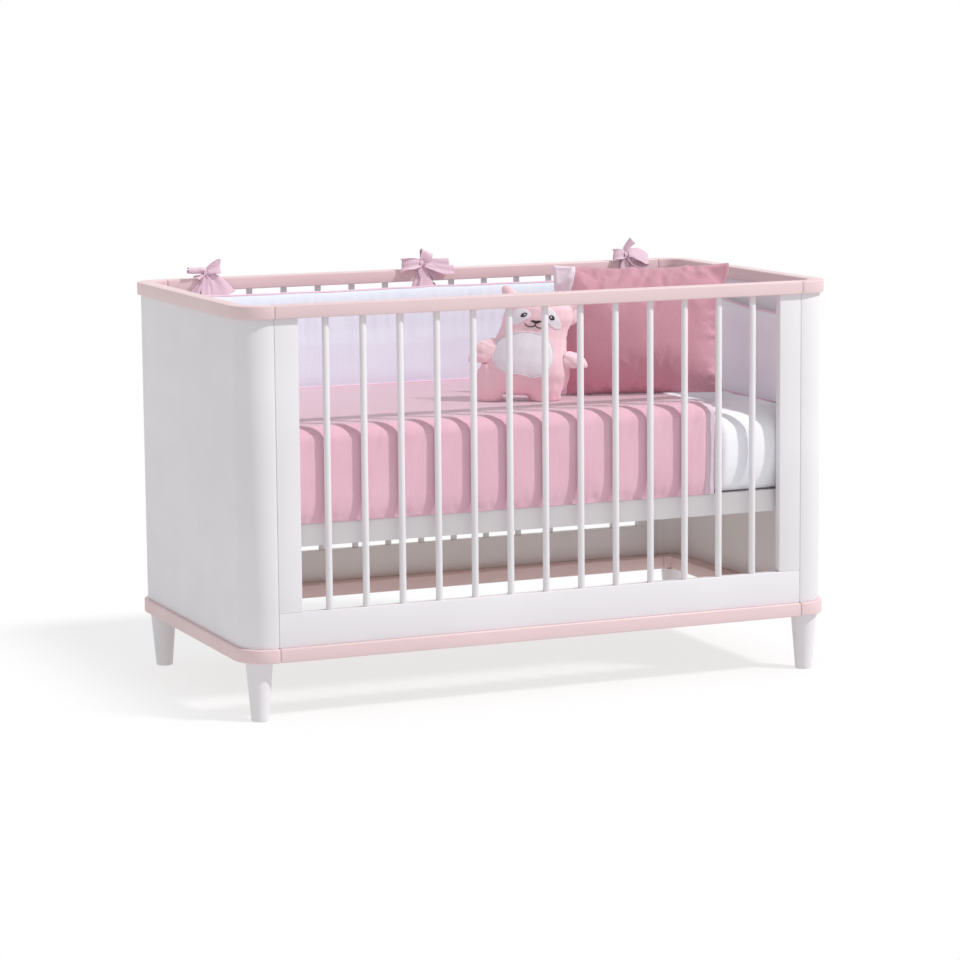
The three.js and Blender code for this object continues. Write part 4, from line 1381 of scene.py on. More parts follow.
@dataclass
class Bumper:
    """The padded U along the back and both ends, gathered under its pink piping."""

    finishes: Finishes
    end_x: float = 0.602
    middle_y: float = 0.3055
    corner_radius: float = 0.043
    front_end: float = 0.285
    half_thickness: float = 0.0205
    top: float = 0.7828
    end_drop: float = 0.042
    drop_share: float = 1.25
    quilt_top: float = 0.5788
    sink: float = 0.007
    sheet_top: float = 0.5556
    step_x: float = 0.4
    step_width: float = 0.03
    columns: int = 520
    around: int = 44
    pleat: float = 0.0060
    pleat_pitch: float = 0.024
    sag: float = 0.0022
    piping_radius: float = 0.0026
    foot_radius: float = 0.0017
    foot_share: float = 0.84
    foot_floor: float = -0.05
    tie_places: tuple[float, ...] = (-0.494, 0.0202, 0.494)
    girth: float = 0.5
    tie_pull: float = 0.0021
    tie_reach: float = 0.05
    wave: float = 0.0016
    wave_pitch: float = 0.09
    top_gap: float = 0.002
    end_reach: float = 0.03
    broad_pitch: float = 0.11
    piping_steps: int = 220
    piping_inset_share: float = 0.002
    foot_height_share: float = 0.035

    def build(self) -> None:
        """Wrap a grid round the pad's path, close its ends and lay the piping."""
        pad = Bench.grid("bumper_pad", self.columns, self.around)
        pad.measure(self.length(), self.girth)
        # The right arm's faces get the lighter copy of the cloth, which is painted light on their shaded
        # side.
        painted_light_arm_start = 1 - self.arm() / self.length()
        pad.second_cloth(lambda middle: middle.x + 0.5 > painted_light_arm_start)
        pad.sculpt(lambda place, normal: self.wrapped(place.x + 0.5, place.y + 0.5))
        pad.outward()
        pad.smooth(math.pi)
        cloths = [self.finishes.bumper, self.finishes.bumper_arm_painted_light]
        pad.finish(Body.FRAME, Slot.LILAC_COTTON, cloths, ["bumper"])
        self.piping("bumper_top_piping", 1.0, 0.0, self.piping_radius)
        self.piping("bumper_foot_piping", self.foot_height_share, -1.0, self.foot_radius)

    def arm(self) -> float:
        """Give the length of one straight arm."""
        return self.middle_y - self.corner_radius + self.front_end

    def back(self) -> float:
        """Give the length of the straight back."""
        return 2 * (self.end_x - self.corner_radius)

    def length(self) -> float:
        """Give the length of the pad's middle line."""
        return 2 * self.arm() + self.back() + 2 * self.corner_radius * QUARTER

    def line(self, share: float) -> tuple[Vector, Vector]:
        """Give a place on the middle line and the inward direction there.

        Args:
            share: From 0 at the left front end to 1 at the right front end.

        Returns:
            The place, and a flat unit vector that points into the bed.
        """
        bend_length = self.corner_radius * QUARTER
        along = share * self.length()
        if along < self.arm():
            return Vector((-self.end_x, -self.front_end + along, 0)), Vector((1, 0, 0))
        along -= self.arm()
        corner = Vector((self.end_x - self.corner_radius, self.middle_y - self.corner_radius, 0))
        if along < bend_length:
            angle = along / self.corner_radius
            inward = Vector((math.cos(angle), -math.sin(angle), 0))
            return Vector((-corner.x, corner.y, 0)) - inward * self.corner_radius, inward
        along -= bend_length
        if along < self.back():
            return Vector((-corner.x + along, self.middle_y, 0)), Vector((0, -1, 0))
        along -= self.back()
        if along < bend_length:
            angle = along / self.corner_radius
            inward = Vector((-math.sin(angle), -math.cos(angle), 0))
            return corner - inward * self.corner_radius, inward
        along -= bend_length
        return Vector((self.end_x, corner.y - along, 0)), Vector((-1, 0, 0))

    def heights(self, place: Vector, along: float) -> tuple[float, float]:
        """Give the pad's lowest and highest level at a place of its middle line.

        Args:
            place: A place on the middle line.
            along: How far along it lies.

        Returns:
            The lowest and the highest level.
        """
        forward = (self.middle_y - place.y) / (self.middle_y + self.front_end)
        drop = self.end_drop * math.sin(min(1.0, self.drop_share * forward) * QUARTER)
        rest = self.quilt_top - self.sink
        half_step = self.step_width / 2
        step = blend(self.step_x - half_step, self.step_x + half_step, place.x)
        rest += (self.sheet_top - self.quilt_top) * step
        wave = self.wave * noise.noise(Vector((along / self.wave_pitch, 3.3, 0)))
        for tie in self.tie_places:
            if place.y > 0:
                wave += self.tie_pull * blend(self.tie_reach, 0.0, abs(place.x - tie))
        return rest, self.top - drop + wave - self.top_gap

    def section(self, share: float, height: float) -> float:
        """Give the pad's half thickness at a height share, with pleats that fade downwards.

        Args:
            share: The share of the pad's length.
            height: The share of its height.

        Returns:
            The half thickness there.
        """
        along = share * self.length()
        width = max(0.0, 1 - abs(2 * height - 1) ** 3.4) ** 0.5
        if height < 0.5:
            width = max(width, blend(self.foot_floor, 0.16, height) * 0.3 + self.foot_share)
        ends = min(share, 1 - share) * self.length()
        width *= 0.35 + 0.65 * blend(0.0, self.end_reach, ends)
        pleats = noise.noise(Vector((along / self.pleat_pitch, height * 0.9, 1.7)))
        fine = noise.noise(Vector((along / (self.pleat_pitch * 0.45), height * 1.6, 8.2)))
        gather = blend(0.3, 0.92, height)
        broad = noise.noise(Vector((along / self.broad_pitch, height * 1.3, 4.4)))
        cut = self.pleat * gather * (0.55 * abs(pleats) + 0.3 * abs(fine))
        cut += self.sag * (0.4 + 0.6 * abs(broad))
        return max(0.0, (self.half_thickness - cut) * width)

    def wrapped(self, share: float, turn: float) -> Vector:
        """Give where a point of the unit grid lies on the pad.

        Args:
            share: The share of the pad's length.
            turn: The share of a turn round its cut.

        Returns:
            The place.
        """
        share = min(1.0, max(0.0, share))
        place, inward = self.line(share)
        along = share * self.length()
        low, high = self.heights(place, along)
        height = 0.5 - 0.5 * math.cos(min(turn, 1 - turn) * TAU)
        side = 1.0 if turn <= 0.5 else -1.0
        half = self.section(share, height) if 0.0 < share < 1.0 else 0.0
        offset = inward * (half * side)
        return Vector((place.x + offset.x, place.y + offset.y, low + height * (high - low)))

    def piping(self, name: str, height: float, side: float, radius: float) -> None:
        """Lay a round piping along the pad.

        Args:
            name: The piece's name.
            height: Its share of the pad's height.
            side: -1 for the inner face, 0 for the middle.
            radius: Its radius.
        """
        points = []
        for step in range(self.piping_steps + 1):
            inset = self.piping_inset_share
            share = inset + (1 - 2 * inset) * step / self.piping_steps
            place, inward = self.line(share)
            low, high = self.heights(place, share * self.length())
            offset = inward * (-side * (self.section(share, height) + radius * 0.4))
            level = low + height * (high - low) + (radius * 0.3 if height > 0.5 else 0.0)
            points.append(Vector((place.x + offset.x, place.y + offset.y, level)))
        cord = round_strip(name, points, radius)
        cord.finish(Body.FRAME, Slot.CHECK_COTTON, [self.finishes.piping])


def round_strip(name: str, points: Sequence[Vector], radius: float) -> Bench:
    """Make a round sewn-in strip with closed ends through a row of points.

    Args:
        name: The piece's name.
        points: The strip's middle line.
        radius: The strip's radius.

    Returns:
        The strip as a mesh on the bench.
    """
    Bench.clear()
    curve = bpy.data.curves.new(name, "CURVE")
    curve.dimensions = "3D"
    curve.bevel_depth = radius
    curve.bevel_resolution = 2
    curve.use_fill_caps = True
    spline = curve.splines.new("POLY")
    spline.points.add(len(points) - 1)
    for knot, point in zip(spline.points, points):
        knot.co = (point.x, point.y, point.z, 1.0)
    obj = bpy.data.objects.new(name, curve)
    bpy.context.scene.collection.objects.link(obj)
    strip = Bench(obj)
    strip.activate()
    bpy.ops.object.convert(target="MESH")
    strip.obj = bpy.context.object
    strip.outward()
    strip.smooth(math.radians(60))
    return strip


def passing(rows: Sequence[Sequence[float]], share: float, closed: bool = False) -> list[float]:
    """Give the values at a share of a smooth run through rows of values.

    Args:
        rows: The values at each stop, evenly spaced.
        share: From 0 at the first stop to 1 at the last, or once round.
        closed: Whether the run goes back to its first stop.

    Returns:
        One value for each column of the rows.
    """
    count = len(rows)
    spans = count if closed else count - 1
    span = min(int(share * spans), spans - 1)
    local = share * spans - span

    def row(number: int) -> Sequence[float]:
        """Give a row by its number, going round or staying at the end."""
        return rows[number % count] if closed else rows[min(max(number, 0), count - 1)]

    values = []
    for before, start, end, after in zip(row(span - 1), row(span), row(span + 1), row(span + 2)):
        slope = end - before
        bend = 2 * before - 5 * start + 4 * end - after
        twist = 3 * (start - end) + after - before
        values.append(start + 0.5 * local * (slope + local * (bend + local * twist)))
    return values


@dataclass(frozen=True)
class Stop:
    """A place that a ribbon passes, with the way it is wide, how much of its width shows and its curl."""

    place: Point
    across: Point = (0.0, 0.0, 1.0)
    open: float = 1.0
    curl: float = 0.01

    def values(self) -> tuple[float, ...]:
        """Give the stop as one row of numbers."""
        return (*self.place, *self.across, self.open, self.curl)


def alike(across: Point, *rows: tuple[float, ...]) -> tuple[Stop, ...]:
    """Make stops that are all wide the same way, from rows of their place, share shown and curl."""
    return tuple(Stop(row[:3], across, *row[3:]) for row in rows)


@dataclass(frozen=True)
class Ribbon:
    """A strip of cloth through a row of stops, pleated where it is gathered."""

    width: float
    stops: tuple[Stop, ...]
    columns: int = 20
    rows: int = 46
    pleats: float = 1.5
    depth: float = 0.4
    thickness: float = 0.0009
    measures: int = 80
    look_share: float = 0.01

    def place(self, across: float, along: float) -> Vector:
        """Give where a point of the strip lies.

        Args:
            across: From -0.5 to 0.5 over its width.
            along: From 0 to 1 over its length.

        Returns:
            The place, from the tie's own origin.
        """
        rows = [stop.values() for stop in self.stops]
        here = passing(rows, along)
        ahead = passing(rows, min(1.0, along + self.look_share))
        behind = passing(rows, max(0.0, along - self.look_share))
        forward = (Vector(ahead[:3]) - Vector(behind[:3])).normalized()
        wide = Vector(here[3:6])
        wide = (wide - forward * wide.dot(forward)).normalized()
        out = wide.cross(forward)
        shown = min(1.0, max(0.08, here[6]))
        curl = max(0.01, here[7])
        radius = self.width * shown / curl
        fold = self.depth * self.width * shown / self.pleats / 4 * math.sqrt(1 / shown ** 2 - 1)
        pleat = fold * math.sin(across * self.pleats * TAU + 3 * along)
        angle = across * curl
        lift = radius * (1 - math.cos(angle)) + pleat * 0.8
        return Vector(here[:3]) + wide * (radius * math.sin(angle)) + out * lift

    def length(self) -> float:
        """Give the strip's flat length."""
        points = [self.place(0.0, step / self.measures) for step in range(self.measures + 1)]
        return sum((b - a).length for a, b in zip(points, points[1:]))

    def build(self, name: str, origin: Vector) -> Bench:
        """Model the strip.

        Args:
            name: The piece's name.
            origin: The tie's own origin.

        Returns:
            The piece on the bench.
        """
        strip = Bench.grid(name, self.columns, self.rows)
        strip.measure(self.width, self.length())
        strip.sculpt(lambda place, normal: origin + self.place(place.x, 0.5 - place.y))
        strip.modify("SOLIDIFY", thickness=self.thickness, offset=0.0)
        return strip


@dataclass(frozen=True)
class Tie:
    """One tie: where it is, its knot's own turn, and the ribbons that leave the knot."""

    name: str
    place: float
    knot: Point
    ring_radius: float
    ring_width: float
    ribbons: tuple[Ribbon, ...]


LEFT_TIE = Tie("left", -0.494, (0.0015, 0.3195, 0.8335), 0.0058, 0.015, (
    Ribbon(CLOTH_WIDTH, alike(
        (-0.2, 0.3, -1.0),
        (0.004, 0.3165, 0.8335, 0.4, 2.0), (-0.008, 0.312, 0.8355, 0.7, 4.0),
        (-0.022, 0.309, 0.836, 0.95, 5.4), (-0.038, 0.308, 0.837, 1.0, 5.9),
    )),
    Ribbon(CLOTH_WIDTH, alike(
        (0.1, 0.15, 1.0),
        (0.002, 0.317, 0.834, 0.28, 0.8), (0.012, 0.314, 0.8375, 0.5, 0.6),
        (0.025, 0.312, 0.8425, 0.76, 0.5), (0.0335, 0.315, 0.8445, 0.84, 0.4),
        (0.033, 0.3225, 0.8445, 0.84, 0.3), (0.02, 0.326, 0.8405, 0.6, 0.4),
        (0.003, 0.322, 0.8345, 0.3, 0.8),
    ), rows=64, pleats=1.0, depth=0.25),
    Ribbon(CLOTH_WIDTH, alike(
        (0.3, 1.0, 0.35),
        (0.0, 0.316, 0.83, 0.3, 0.8), (-0.01, 0.313, 0.8255, 0.45, 0.7),
        (-0.021, 0.311, 0.8215, 0.6, 0.6),
    )),
    Ribbon(STRAND_WIDTH, alike(
        (1.0, 0.0, 0.0),
        (0.001, 0.318, 0.829, 0.6, 0.8), (0.0, 0.316, 0.818, 0.78, 0.5),
        (0.0, 0.314, 0.8, 0.85, 0.4), (0.0, 0.3085, 0.78, 0.85, 0.4),
    )),
    Ribbon(FAN_WIDTH, (
        Stop((0.004, 0.3165, 0.829), (1.0, 0.0, 0.2), 0.22, 0.6),
        Stop((0.017, 0.316, 0.817), (1.0, 0.0, 0.25), 0.42, 0.5),
        Stop((0.029, 0.314, 0.801), (1.0, 0.0, 0.2), 0.66, 0.4),
        Stop((0.038, 0.309, 0.78), (1.0, 0.0, 0.0), 0.94, 0.3),
    ), pleats=1.5, depth=0.16, columns=44),
    Ribbon(CLOTH_WIDTH, (
        Stop((-0.006, 0.3215, 0.822), (0.5, -0.85, 0.0), 0.4, 0.6),
        Stop((-0.015, 0.3185, 0.808), (0.5, -0.85, 0.0), 0.65, 0.5),
        Stop((-0.026, 0.315, 0.793), (0.5, -0.85, 0.0), 0.9, 0.4),
        Stop((-0.032, 0.311, 0.78), (0.6, -0.7, 0.0), 0.9, 0.3),
    )),
))

MIDDLE_TIE = Tie("middle", 0.0202, (-0.0195, 0.3165, 0.8335), 0.0056, 0.018, (
    Ribbon(CLOTH_WIDTH, (
        Stop((-0.017, 0.315, 0.834), (1.0, 0.15, -0.2), 0.5, 0.7),
        Stop((-0.013, 0.312, 0.843), (1.0, 0.15, -0.3), 0.78, 0.6),
        Stop((-0.009, 0.312, 0.854), (1.0, 0.15, -0.5), 0.82, 0.6),
        Stop((-0.008, 0.317, 0.858), (1.0, 0.15, -0.5), 0.8, 0.5),
        Stop((-0.009, 0.322, 0.853), (1.0, 0.15, -0.4), 0.75, 0.4),
        Stop((-0.014, 0.321, 0.837), (1.0, 0.0, -0.3), 0.4, 0.6),
    ), rows=64, pleats=1.0, depth=0.25),
    Ribbon(CLOTH_WIDTH, alike(
        (0.1, 0.2, 1.0),
        (-0.02, 0.316, 0.834, 0.35, 0.8), (-0.034, 0.308, 0.8345, 0.6, 1.0),
        (-0.052, 0.305, 0.8335, 0.76, 1.3), (-0.065, 0.311, 0.8325, 0.72, 1.3),
        (-0.062, 0.32, 0.8325, 0.72, 1.0), (-0.042, 0.323, 0.833, 0.6, 0.8),
        (-0.022, 0.319, 0.833, 0.3, 0.8),
    ), rows=72, pleats=1.5, depth=0.3),
    Ribbon(CLOTH_WIDTH, alike(
        (0.1, 0.4, 1.0),
        (-0.018, 0.316, 0.8335, 0.35, 0.6), (0.0, 0.313, 0.8335, 0.55, 0.4),
        (0.02, 0.312, 0.832, 0.62, 0.3), (0.042, 0.311, 0.832, 0.64, 0.3),
    ), pleats=1.0, depth=0.2),
    Ribbon(CLOTH_WIDTH, (
        Stop((-0.016, 0.314, 0.83), (0.3, 0.5, 1.0), 0.3, 0.7),
        Stop((0.002, 0.309, 0.8255), (0.3, 0.5, 1.0), 0.45, 0.5),
        Stop((0.026, 0.305, 0.819), (0.3, 0.5, 1.0), 0.56, 0.4),
        Stop((0.051, 0.304, 0.8185), (0.2, 0.5, 1.0), 0.6, 0.3),
    ), pleats=1.0, depth=0.2),
    Ribbon(CLOTH_WIDTH, (
        Stop((-0.012, 0.317, 0.824), (0.8, 0.6, 0.5), 0.35, 0.6),
        Stop((0.003, 0.316, 0.816), (0.8, 0.6, 0.5), 0.6, 0.5),
        Stop((0.015, 0.314, 0.805), (0.8, 0.6, 0.8), 0.72, 0.4),
    ), pleats=1.0, depth=0.2),
    Ribbon(STRAND_WIDTH, (
        Stop((-0.022, 0.3145, 0.829), (1.0, 0.0, 0.15), 0.6, 0.6),
        Stop((-0.018, 0.3135, 0.818), (1.0, 0.0, 0.15), 0.85, 0.4),
        Stop((-0.012, 0.3115, 0.8), (1.0, 0.0, 0.1), 0.95, 0.3),
        Stop((-0.007, 0.3075, 0.78), (1.0, 0.0, 0.0), 1.0, 0.3),
    ), pleats=1.0, depth=0.15),
    Ribbon(CLOTH_WIDTH, (
        Stop((-0.02, 0.318, 0.822), (0.7, -0.6, 0.0), 0.3, 0.6),
        Stop((-0.025, 0.3165, 0.808), (0.7, -0.6, 0.0), 0.45, 0.5),
        Stop((-0.031, 0.313, 0.793), (0.7, -0.6, 0.0), 0.6, 0.4),
        Stop((-0.034, 0.309, 0.78), (0.7, -0.5, 0.0), 0.7, 0.3),
    )),
))

RIGHT_TIE = Tie("right", 0.494, (-0.002, 0.3175, 0.8335), 0.0056, 0.015, (
    Ribbon(CLOTH_WIDTH, alike(
        (0.2, 0.4, 1.0),
        (-0.002, 0.317, 0.8335, 0.4, 0.8), (-0.012, 0.313, 0.835, 0.62, 0.9),
        (-0.024, 0.312, 0.835, 0.74, 1.0), (-0.0305, 0.317, 0.8345, 0.7, 1.0),
        (-0.026, 0.323, 0.834, 0.66, 0.9), (-0.004, 0.32, 0.833, 0.4, 0.8),
    ), rows=64, pleats=1.0, depth=0.25),
    Ribbon(CLOTH_WIDTH, (
        Stop((-0.006, 0.316, 0.835), (1.0, 0.0, -0.3), 0.36, 0.8),
        Stop((-0.003, 0.315, 0.845), (1.0, 0.0, -0.4), 0.42, 0.9),
        Stop((0.004, 0.314, 0.856), (1.0, 0.0, -0.5), 0.46, 1.0),
        Stop((0.012, 0.313, 0.865), (1.0, 0.0, -0.3), 0.56, 1.0),
    ), pleats=1.0, depth=0.3),
    Ribbon(CLOTH_WIDTH, (
        Stop((0.0, 0.318, 0.835), (0.25, 0.65, 0.65), 0.5, 0.6),
        Stop((0.014, 0.316, 0.8375), (0.25, 0.65, 0.65), 0.8, 0.4),
        Stop((0.029, 0.313, 0.834), (0.3, 0.6, 0.65), 1.0, 0.3),
        Stop((0.044, 0.312, 0.826), (0.35, 0.6, 0.6), 1.0, 0.3),
        Stop((0.052, 0.314, 0.819), (0.35, 0.7, 0.5), 1.0, 0.3),
        Stop((0.045, 0.318, 0.813), (0.3, 0.75, 0.45), 1.0, 0.3),
        Stop((0.029, 0.321, 0.812), (0.25, 0.75, 0.45), 1.0, 0.4),
        Stop((0.013, 0.321, 0.818), (0.25, 0.75, 0.45), 0.9, 0.5),
        Stop((0.001, 0.319, 0.829), (0.25, 0.75, 0.45), 0.5, 0.6),
    ), rows=90, pleats=1.0, depth=0.2),
    Ribbon(STRAND_WIDTH, alike(
        (1.0, 0.0, 0.0),
        (-0.002, 0.3175, 0.829, 0.5, 0.8), (-0.004, 0.316, 0.818, 0.7, 0.5),
        (-0.006, 0.314, 0.8, 0.85, 0.4), (-0.006, 0.3085, 0.78, 0.85, 0.4),
    )),
))


@dataclass
class TieBows:
    """Three checked ties that hold the bumper to the back rail, each knotted in its own way.

    The left one has a rolled end, a fanned loop and two strands. The middle one has a short upright
    loop, a bunched loop, two tails and two strands. The right one has a short loop, an upright tail,
    a wide open loop and one strand.
    """

    finishes: Finishes
    wrap_rows: int = 80
    ties: tuple[Tie, ...] = (LEFT_TIE, MIDDLE_TIE, RIGHT_TIE)

    def build(self) -> None:
        """Fold the three ties."""
        for bow in self.ties:
            origin = Vector((bow.place, 0, 0))
            ribbons = (self.ring(bow), *bow.ribbons, self.wrap(bow))
            node = f"tie_bow_{bow.name}"
            strips = [
                ribbon.build(f"{node}_strip_{number}", origin) for number, ribbon in enumerate(ribbons)]
            tie = strips[0]
            tie.join(strips[1:])
            tie.rename(f"{node}_ribbon")
            tie.smooth(math.radians(60))
            tie.finish(Body.FRAME, Slot.CHECK_COTTON, [self.finishes.check], [node])
            area = sum(ribbon.width * ribbon.length() for ribbon in ribbons)
            long = sum(ribbon.length() for ribbon in ribbons)
            log.info("%s: %.3f m of ribbon", node, long)

    def wrap(self, bow: Tie) -> Ribbon:
        """Lead the tie from the knot over the rail, down its back and under it to the bumper.

        Args:
            bow: The tie.

        Returns:
            The strap's ribbon.
        """
        x, y, z = bow.knot
        flat = (1.0, 0.0, 0.0)
        return Ribbon(STRAND_WIDTH, (
            Stop((x, y, z - 0.004), flat, 0.4),
            Stop((x * 0.7, 0.327, 0.8228), flat, 0.7),
            Stop((x * 0.4, 0.340, 0.8216), flat, 0.95),
            Stop((x * 0.2, 0.3535, 0.8215), flat),
            *alike(
                flat, (0.0, 0.3562, 0.8165), (0.0, 0.3564, 0.806), (0.0, 0.3560, 0.7955),

                (0.0, 0.3515, 0.7918), (0.0, 0.336, 0.7905), (0.0, 0.321, 0.788), (0.0, 0.31, 0.78)),
        ), rows=self.wrap_rows)

    def ring(self, bow: Tie) -> Ribbon:
        """Wrap the knot's own turn round the middle of the bow.

        Args:
            bow: The tie.

        Returns:
            The turn's ribbon.
        """
        x, y, z = bow.knot
        flat = (1.0, 0.0, 0.25)
        turns = []
        for number in range(9):
            angle = TAU * number / 8
            radius = bow.ring_radius
            around = (x, y + radius * math.sin(angle), z + radius * 1.15 * math.cos(angle))
            turns.append(Stop(around, flat, 0.75, 1.4))
        return Ribbon(bow.ring_width, tuple(turns))

@dataclass
class Toy:
    """A stuffed animal of pink cotton, with a pale belly, pale eye patches and a stitched face."""

    finishes: Finishes
    place: Point = (0.046, -0.118, 0.581526)
    turn: float = math.radians(-23)
    lean: float = math.radians(4)
    cell: float = 0.0023
    smoothing: int = 6
    seam_depth: float = 0.0014
    seam_reach: float = 0.16
    pucker: float = 0.0016
    pucker_reach: float = 0.55
    pucker_pitch: Point = (0.010, 0.016, 0.010)
    lump: float = 0.0014
    lump_pitch: Point = (0.032, 0.05, 0.038)
    fold: float = 0.0026
    limb_pitch: Point = (0.009, 0.05, 0.05)
    body_pitch: Point = (0.012, 0.05, 0.04)
    body_span: tuple[float, float] = (0.075, 0.035)
    patch_rise: float = 0.0003
    nose_rise: float = 0.0010
    iris_rise: float = 0.0011
    glint_rise: float = 0.0019
    patch_thickness: float = 0.0012
    stitch_radius: float = 0.0007
    mouth_radius: float = 0.0010
    spokes: int = 84
    rings: int = 12
    stitch_steps: int = 90
    eye_points: int = 16
    clear: float = 0.3
    belly: tuple[Spot, ...] = (
        (-0.066, 0.101), (-0.059, 0.117), (-0.044, 0.13), (-0.024, 0.1385), (-0.003, 0.1422),
        (0.02, 0.1405), (0.04, 0.1335), (0.052, 0.118), (0.057, 0.096), (0.055, 0.076),
        (0.047, 0.062), (0.033, 0.0535), (0.0163, 0.05), (0.002, 0.0535), (-0.013, 0.056),
        (-0.032, 0.056), (-0.048, 0.06), (-0.061, 0.072), (-0.068, 0.087))
    left_patch: tuple[Spot, ...] = (
        (0.005, 0.179), (0.001, 0.1855), (-0.009, 0.1885), (-0.02, 0.188), (-0.029, 0.183),
        (-0.0345, 0.174), (-0.035, 0.164), (-0.031, 0.156), (-0.024, 0.1545), (-0.015, 0.16),
        (-0.005, 0.167), (0.003, 0.172))
    right_patch: tuple[Spot, ...] = (
        (0.036, 0.19), (0.042, 0.1935), (0.05, 0.19), (0.059, 0.18), (0.066, 0.168),
        (0.069, 0.159), (0.068, 0.152), (0.062, 0.15), (0.053, 0.154), (0.044, 0.161),
        (0.037, 0.17), (0.034, 0.18))
    nose: tuple[Spot, ...] = (
        (0.0058, 0.166), (0.0115, 0.1674), (0.0172, 0.1668), (0.0232, 0.1674), (0.029, 0.1662),
        (0.0244, 0.163), (0.0176, 0.1604), (0.0108, 0.163))
    left_smile: tuple[Spot, ...] = (
        (-0.0055, 0.1605), (-0.0018, 0.1557), (0.0045, 0.1537), (0.011, 0.1543), (0.0164, 0.1572))
    right_smile: tuple[Spot, ...] = (
        (0.0172, 0.161), (0.0164, 0.1572), (0.02, 0.1538), (0.0258, 0.1521), (0.0318, 0.1537))
    left_eye: tuple[float, float, float, float, float] = (-0.0080, 0.1768, 0.0076, 0.0040, 28.0)
    right_eye: tuple[float, float, float, float, float] = (0.0490, 0.1745, 0.0066, 0.0048, -32.0)
    glint_share: float = 0.30
    glint_shift: float = 0.26
    fullness: tuple[tuple[str, Point, Point], ...] = (
        ("toy_leg_left", (1.40, 1.04, 1.60), (-0.008, 0.001, -0.013)),
        ("toy_leg_right", (1.66, 1.04, 1.65), (0.012, 0.001, -0.013)),
        ("toy_arm_left", (1.20, 1.25, 2.05), (0.006, 0.0, -0.005)),
        ("toy_arm_right", (1.30, 1.2, 1.30), (0.006, 0.0, -0.006)))
    hips: float = 0.24
    hip_span: tuple[float, float] = (0.11, 0.02)
    sag: float = 0.009
    ear_place: Point = (0.086, 0.004, 0.180)
    ear_size: Point = (0.018, 0.0095, 0.023)
    ear_tilt: float = math.radians(-22)
    leg_height: float = 0.105
    leg_smoothing: int = 26

    def build(self) -> None:
        """Sew and stuff the animal, and stitch its face."""
        self.frame = (
            Matrix.Translation(self.place) @ Matrix.Rotation(self.turn, 4, "Z")
            @ Matrix.Rotation(self.lean, 4, "Y"))
        skin_of = ("toy_body", "toy_leg_left", "toy_leg_right")
        body = self.stuffed(*skin_of)
        mesh = body.obj.data
        points = [vertex.co.copy() for vertex in mesh.vertices]
        self.skin = BVHTree.FromPolygons(points, [tuple(face.vertices) for face in mesh.polygons])
        self.sewn_on(body, skin_of, self.finishes.toy, Slot.TOY_COTTON)
        for limb in ("toy_arm_left", "toy_arm_right"):
            self.sewn_on(self.stuffed(limb), [limb], self.finishes.toy, Slot.TOY_COTTON)
        pale = (self.finishes.patch, Slot.WHITE_COTTON)
        black = (self.finishes.black, None)
        self.sewn_on(self.patch("toy_belly_patch", self.belly, self.patch_rise), [], *pale)
        self.sewn_on(self.stitches("toy_belly_stitches", self.belly, self.stitch_radius, True), [], *pale)
        for side, outline in (("left", self.left_patch), ("right", self.right_patch)):
            self.sewn_on(self.patch(f"toy_{side}_eye_patch", outline, self.patch_rise), [], *pale)
        for side, eye, way in (("left", self.left_eye, 1), ("right", self.right_eye, -1)):
            iris = self.patch(f"toy_{side}_eye", self.almond(eye, 1.0), self.iris_rise)
            self.sewn_on(iris, [], *black)
            shifted = (eye[0] + way * self.glint_shift * eye[2], eye[1] + 0.2 * eye[3], *eye[2:])
            outline = self.almond(shifted, self.glint_share)
            glint = self.patch(f"toy_{side}_eye_glint", outline, self.glint_rise)
            self.sewn_on(glint, [], self.finishes.glint, None)
        self.sewn_on(self.patch("toy_nose", self.nose, self.nose_rise), [], *black)
        mouth = self.stitches("toy_mouth", self.left_smile, self.mouth_radius, False)
        mouth.join([self.stitches("toy_mouth_right", self.right_smile, self.mouth_radius, False)])
        self.sewn_on(mouth, [], *black)

    def stuffed(self, node: str, *grown: str) -> Bench:
        """Fill one part: an even skin round the solid, with its seam, puckers and lumps.

        Args:
            node: The part's solid, which gives the piece its name.
            grown: Solids that grow out of the same skin.

        Returns:
            The part on the bench, in the toy's own frame.
        """
        piece = self.enlarged(node, f"{node}_cloth")
        if node == "toy_body":
            piece.sculpt(lambda place, normal: self.hipped(place))
            piece.join([self.ear()])
        piece.join([self.enlarged(other, f"{other}_cloth") for other in grown])
        piece.remesh(self.cell)
        piece.modify("SMOOTH", factor=0.6, iterations=self.smoothing)
        if grown:
            legs = piece.obj.vertex_groups.new(name="legs")
            for vertex in piece.obj.data.vertices:
                share = blend(self.leg_height, self.leg_height / 2, vertex.co.z)
                legs.add([vertex.index], share, "REPLACE")
            piece.modify("SMOOTH", factor=0.7, iterations=self.leg_smoothing, vertex_group="legs")
        limb = node != "toy_body"
        piece.sculpt(lambda place, normal: self.creased(place, normal, limb))
        piece.modify("SMOOTH", factor=0.5, iterations=1)
        return piece

    def ear(self) -> Bench:
        """Stuff the drooping lobe of the ear at the cushion's side.

        Returns:
            The lobe on the bench.
        """
        ball = {"segments": 24, "ring_count": 16, "radius": 1.0}
        lobe = Bench.added("toy_ear_lobe", bpy.ops.mesh.primitive_uv_sphere_add, **ball)
        tilted = Matrix.Rotation(self.ear_tilt, 4, "Y") @ Matrix.Diagonal((*self.ear_size, 1))
        lobe.obj.data.transform(Matrix.Translation(self.ear_place) @ tilted)
        return lobe

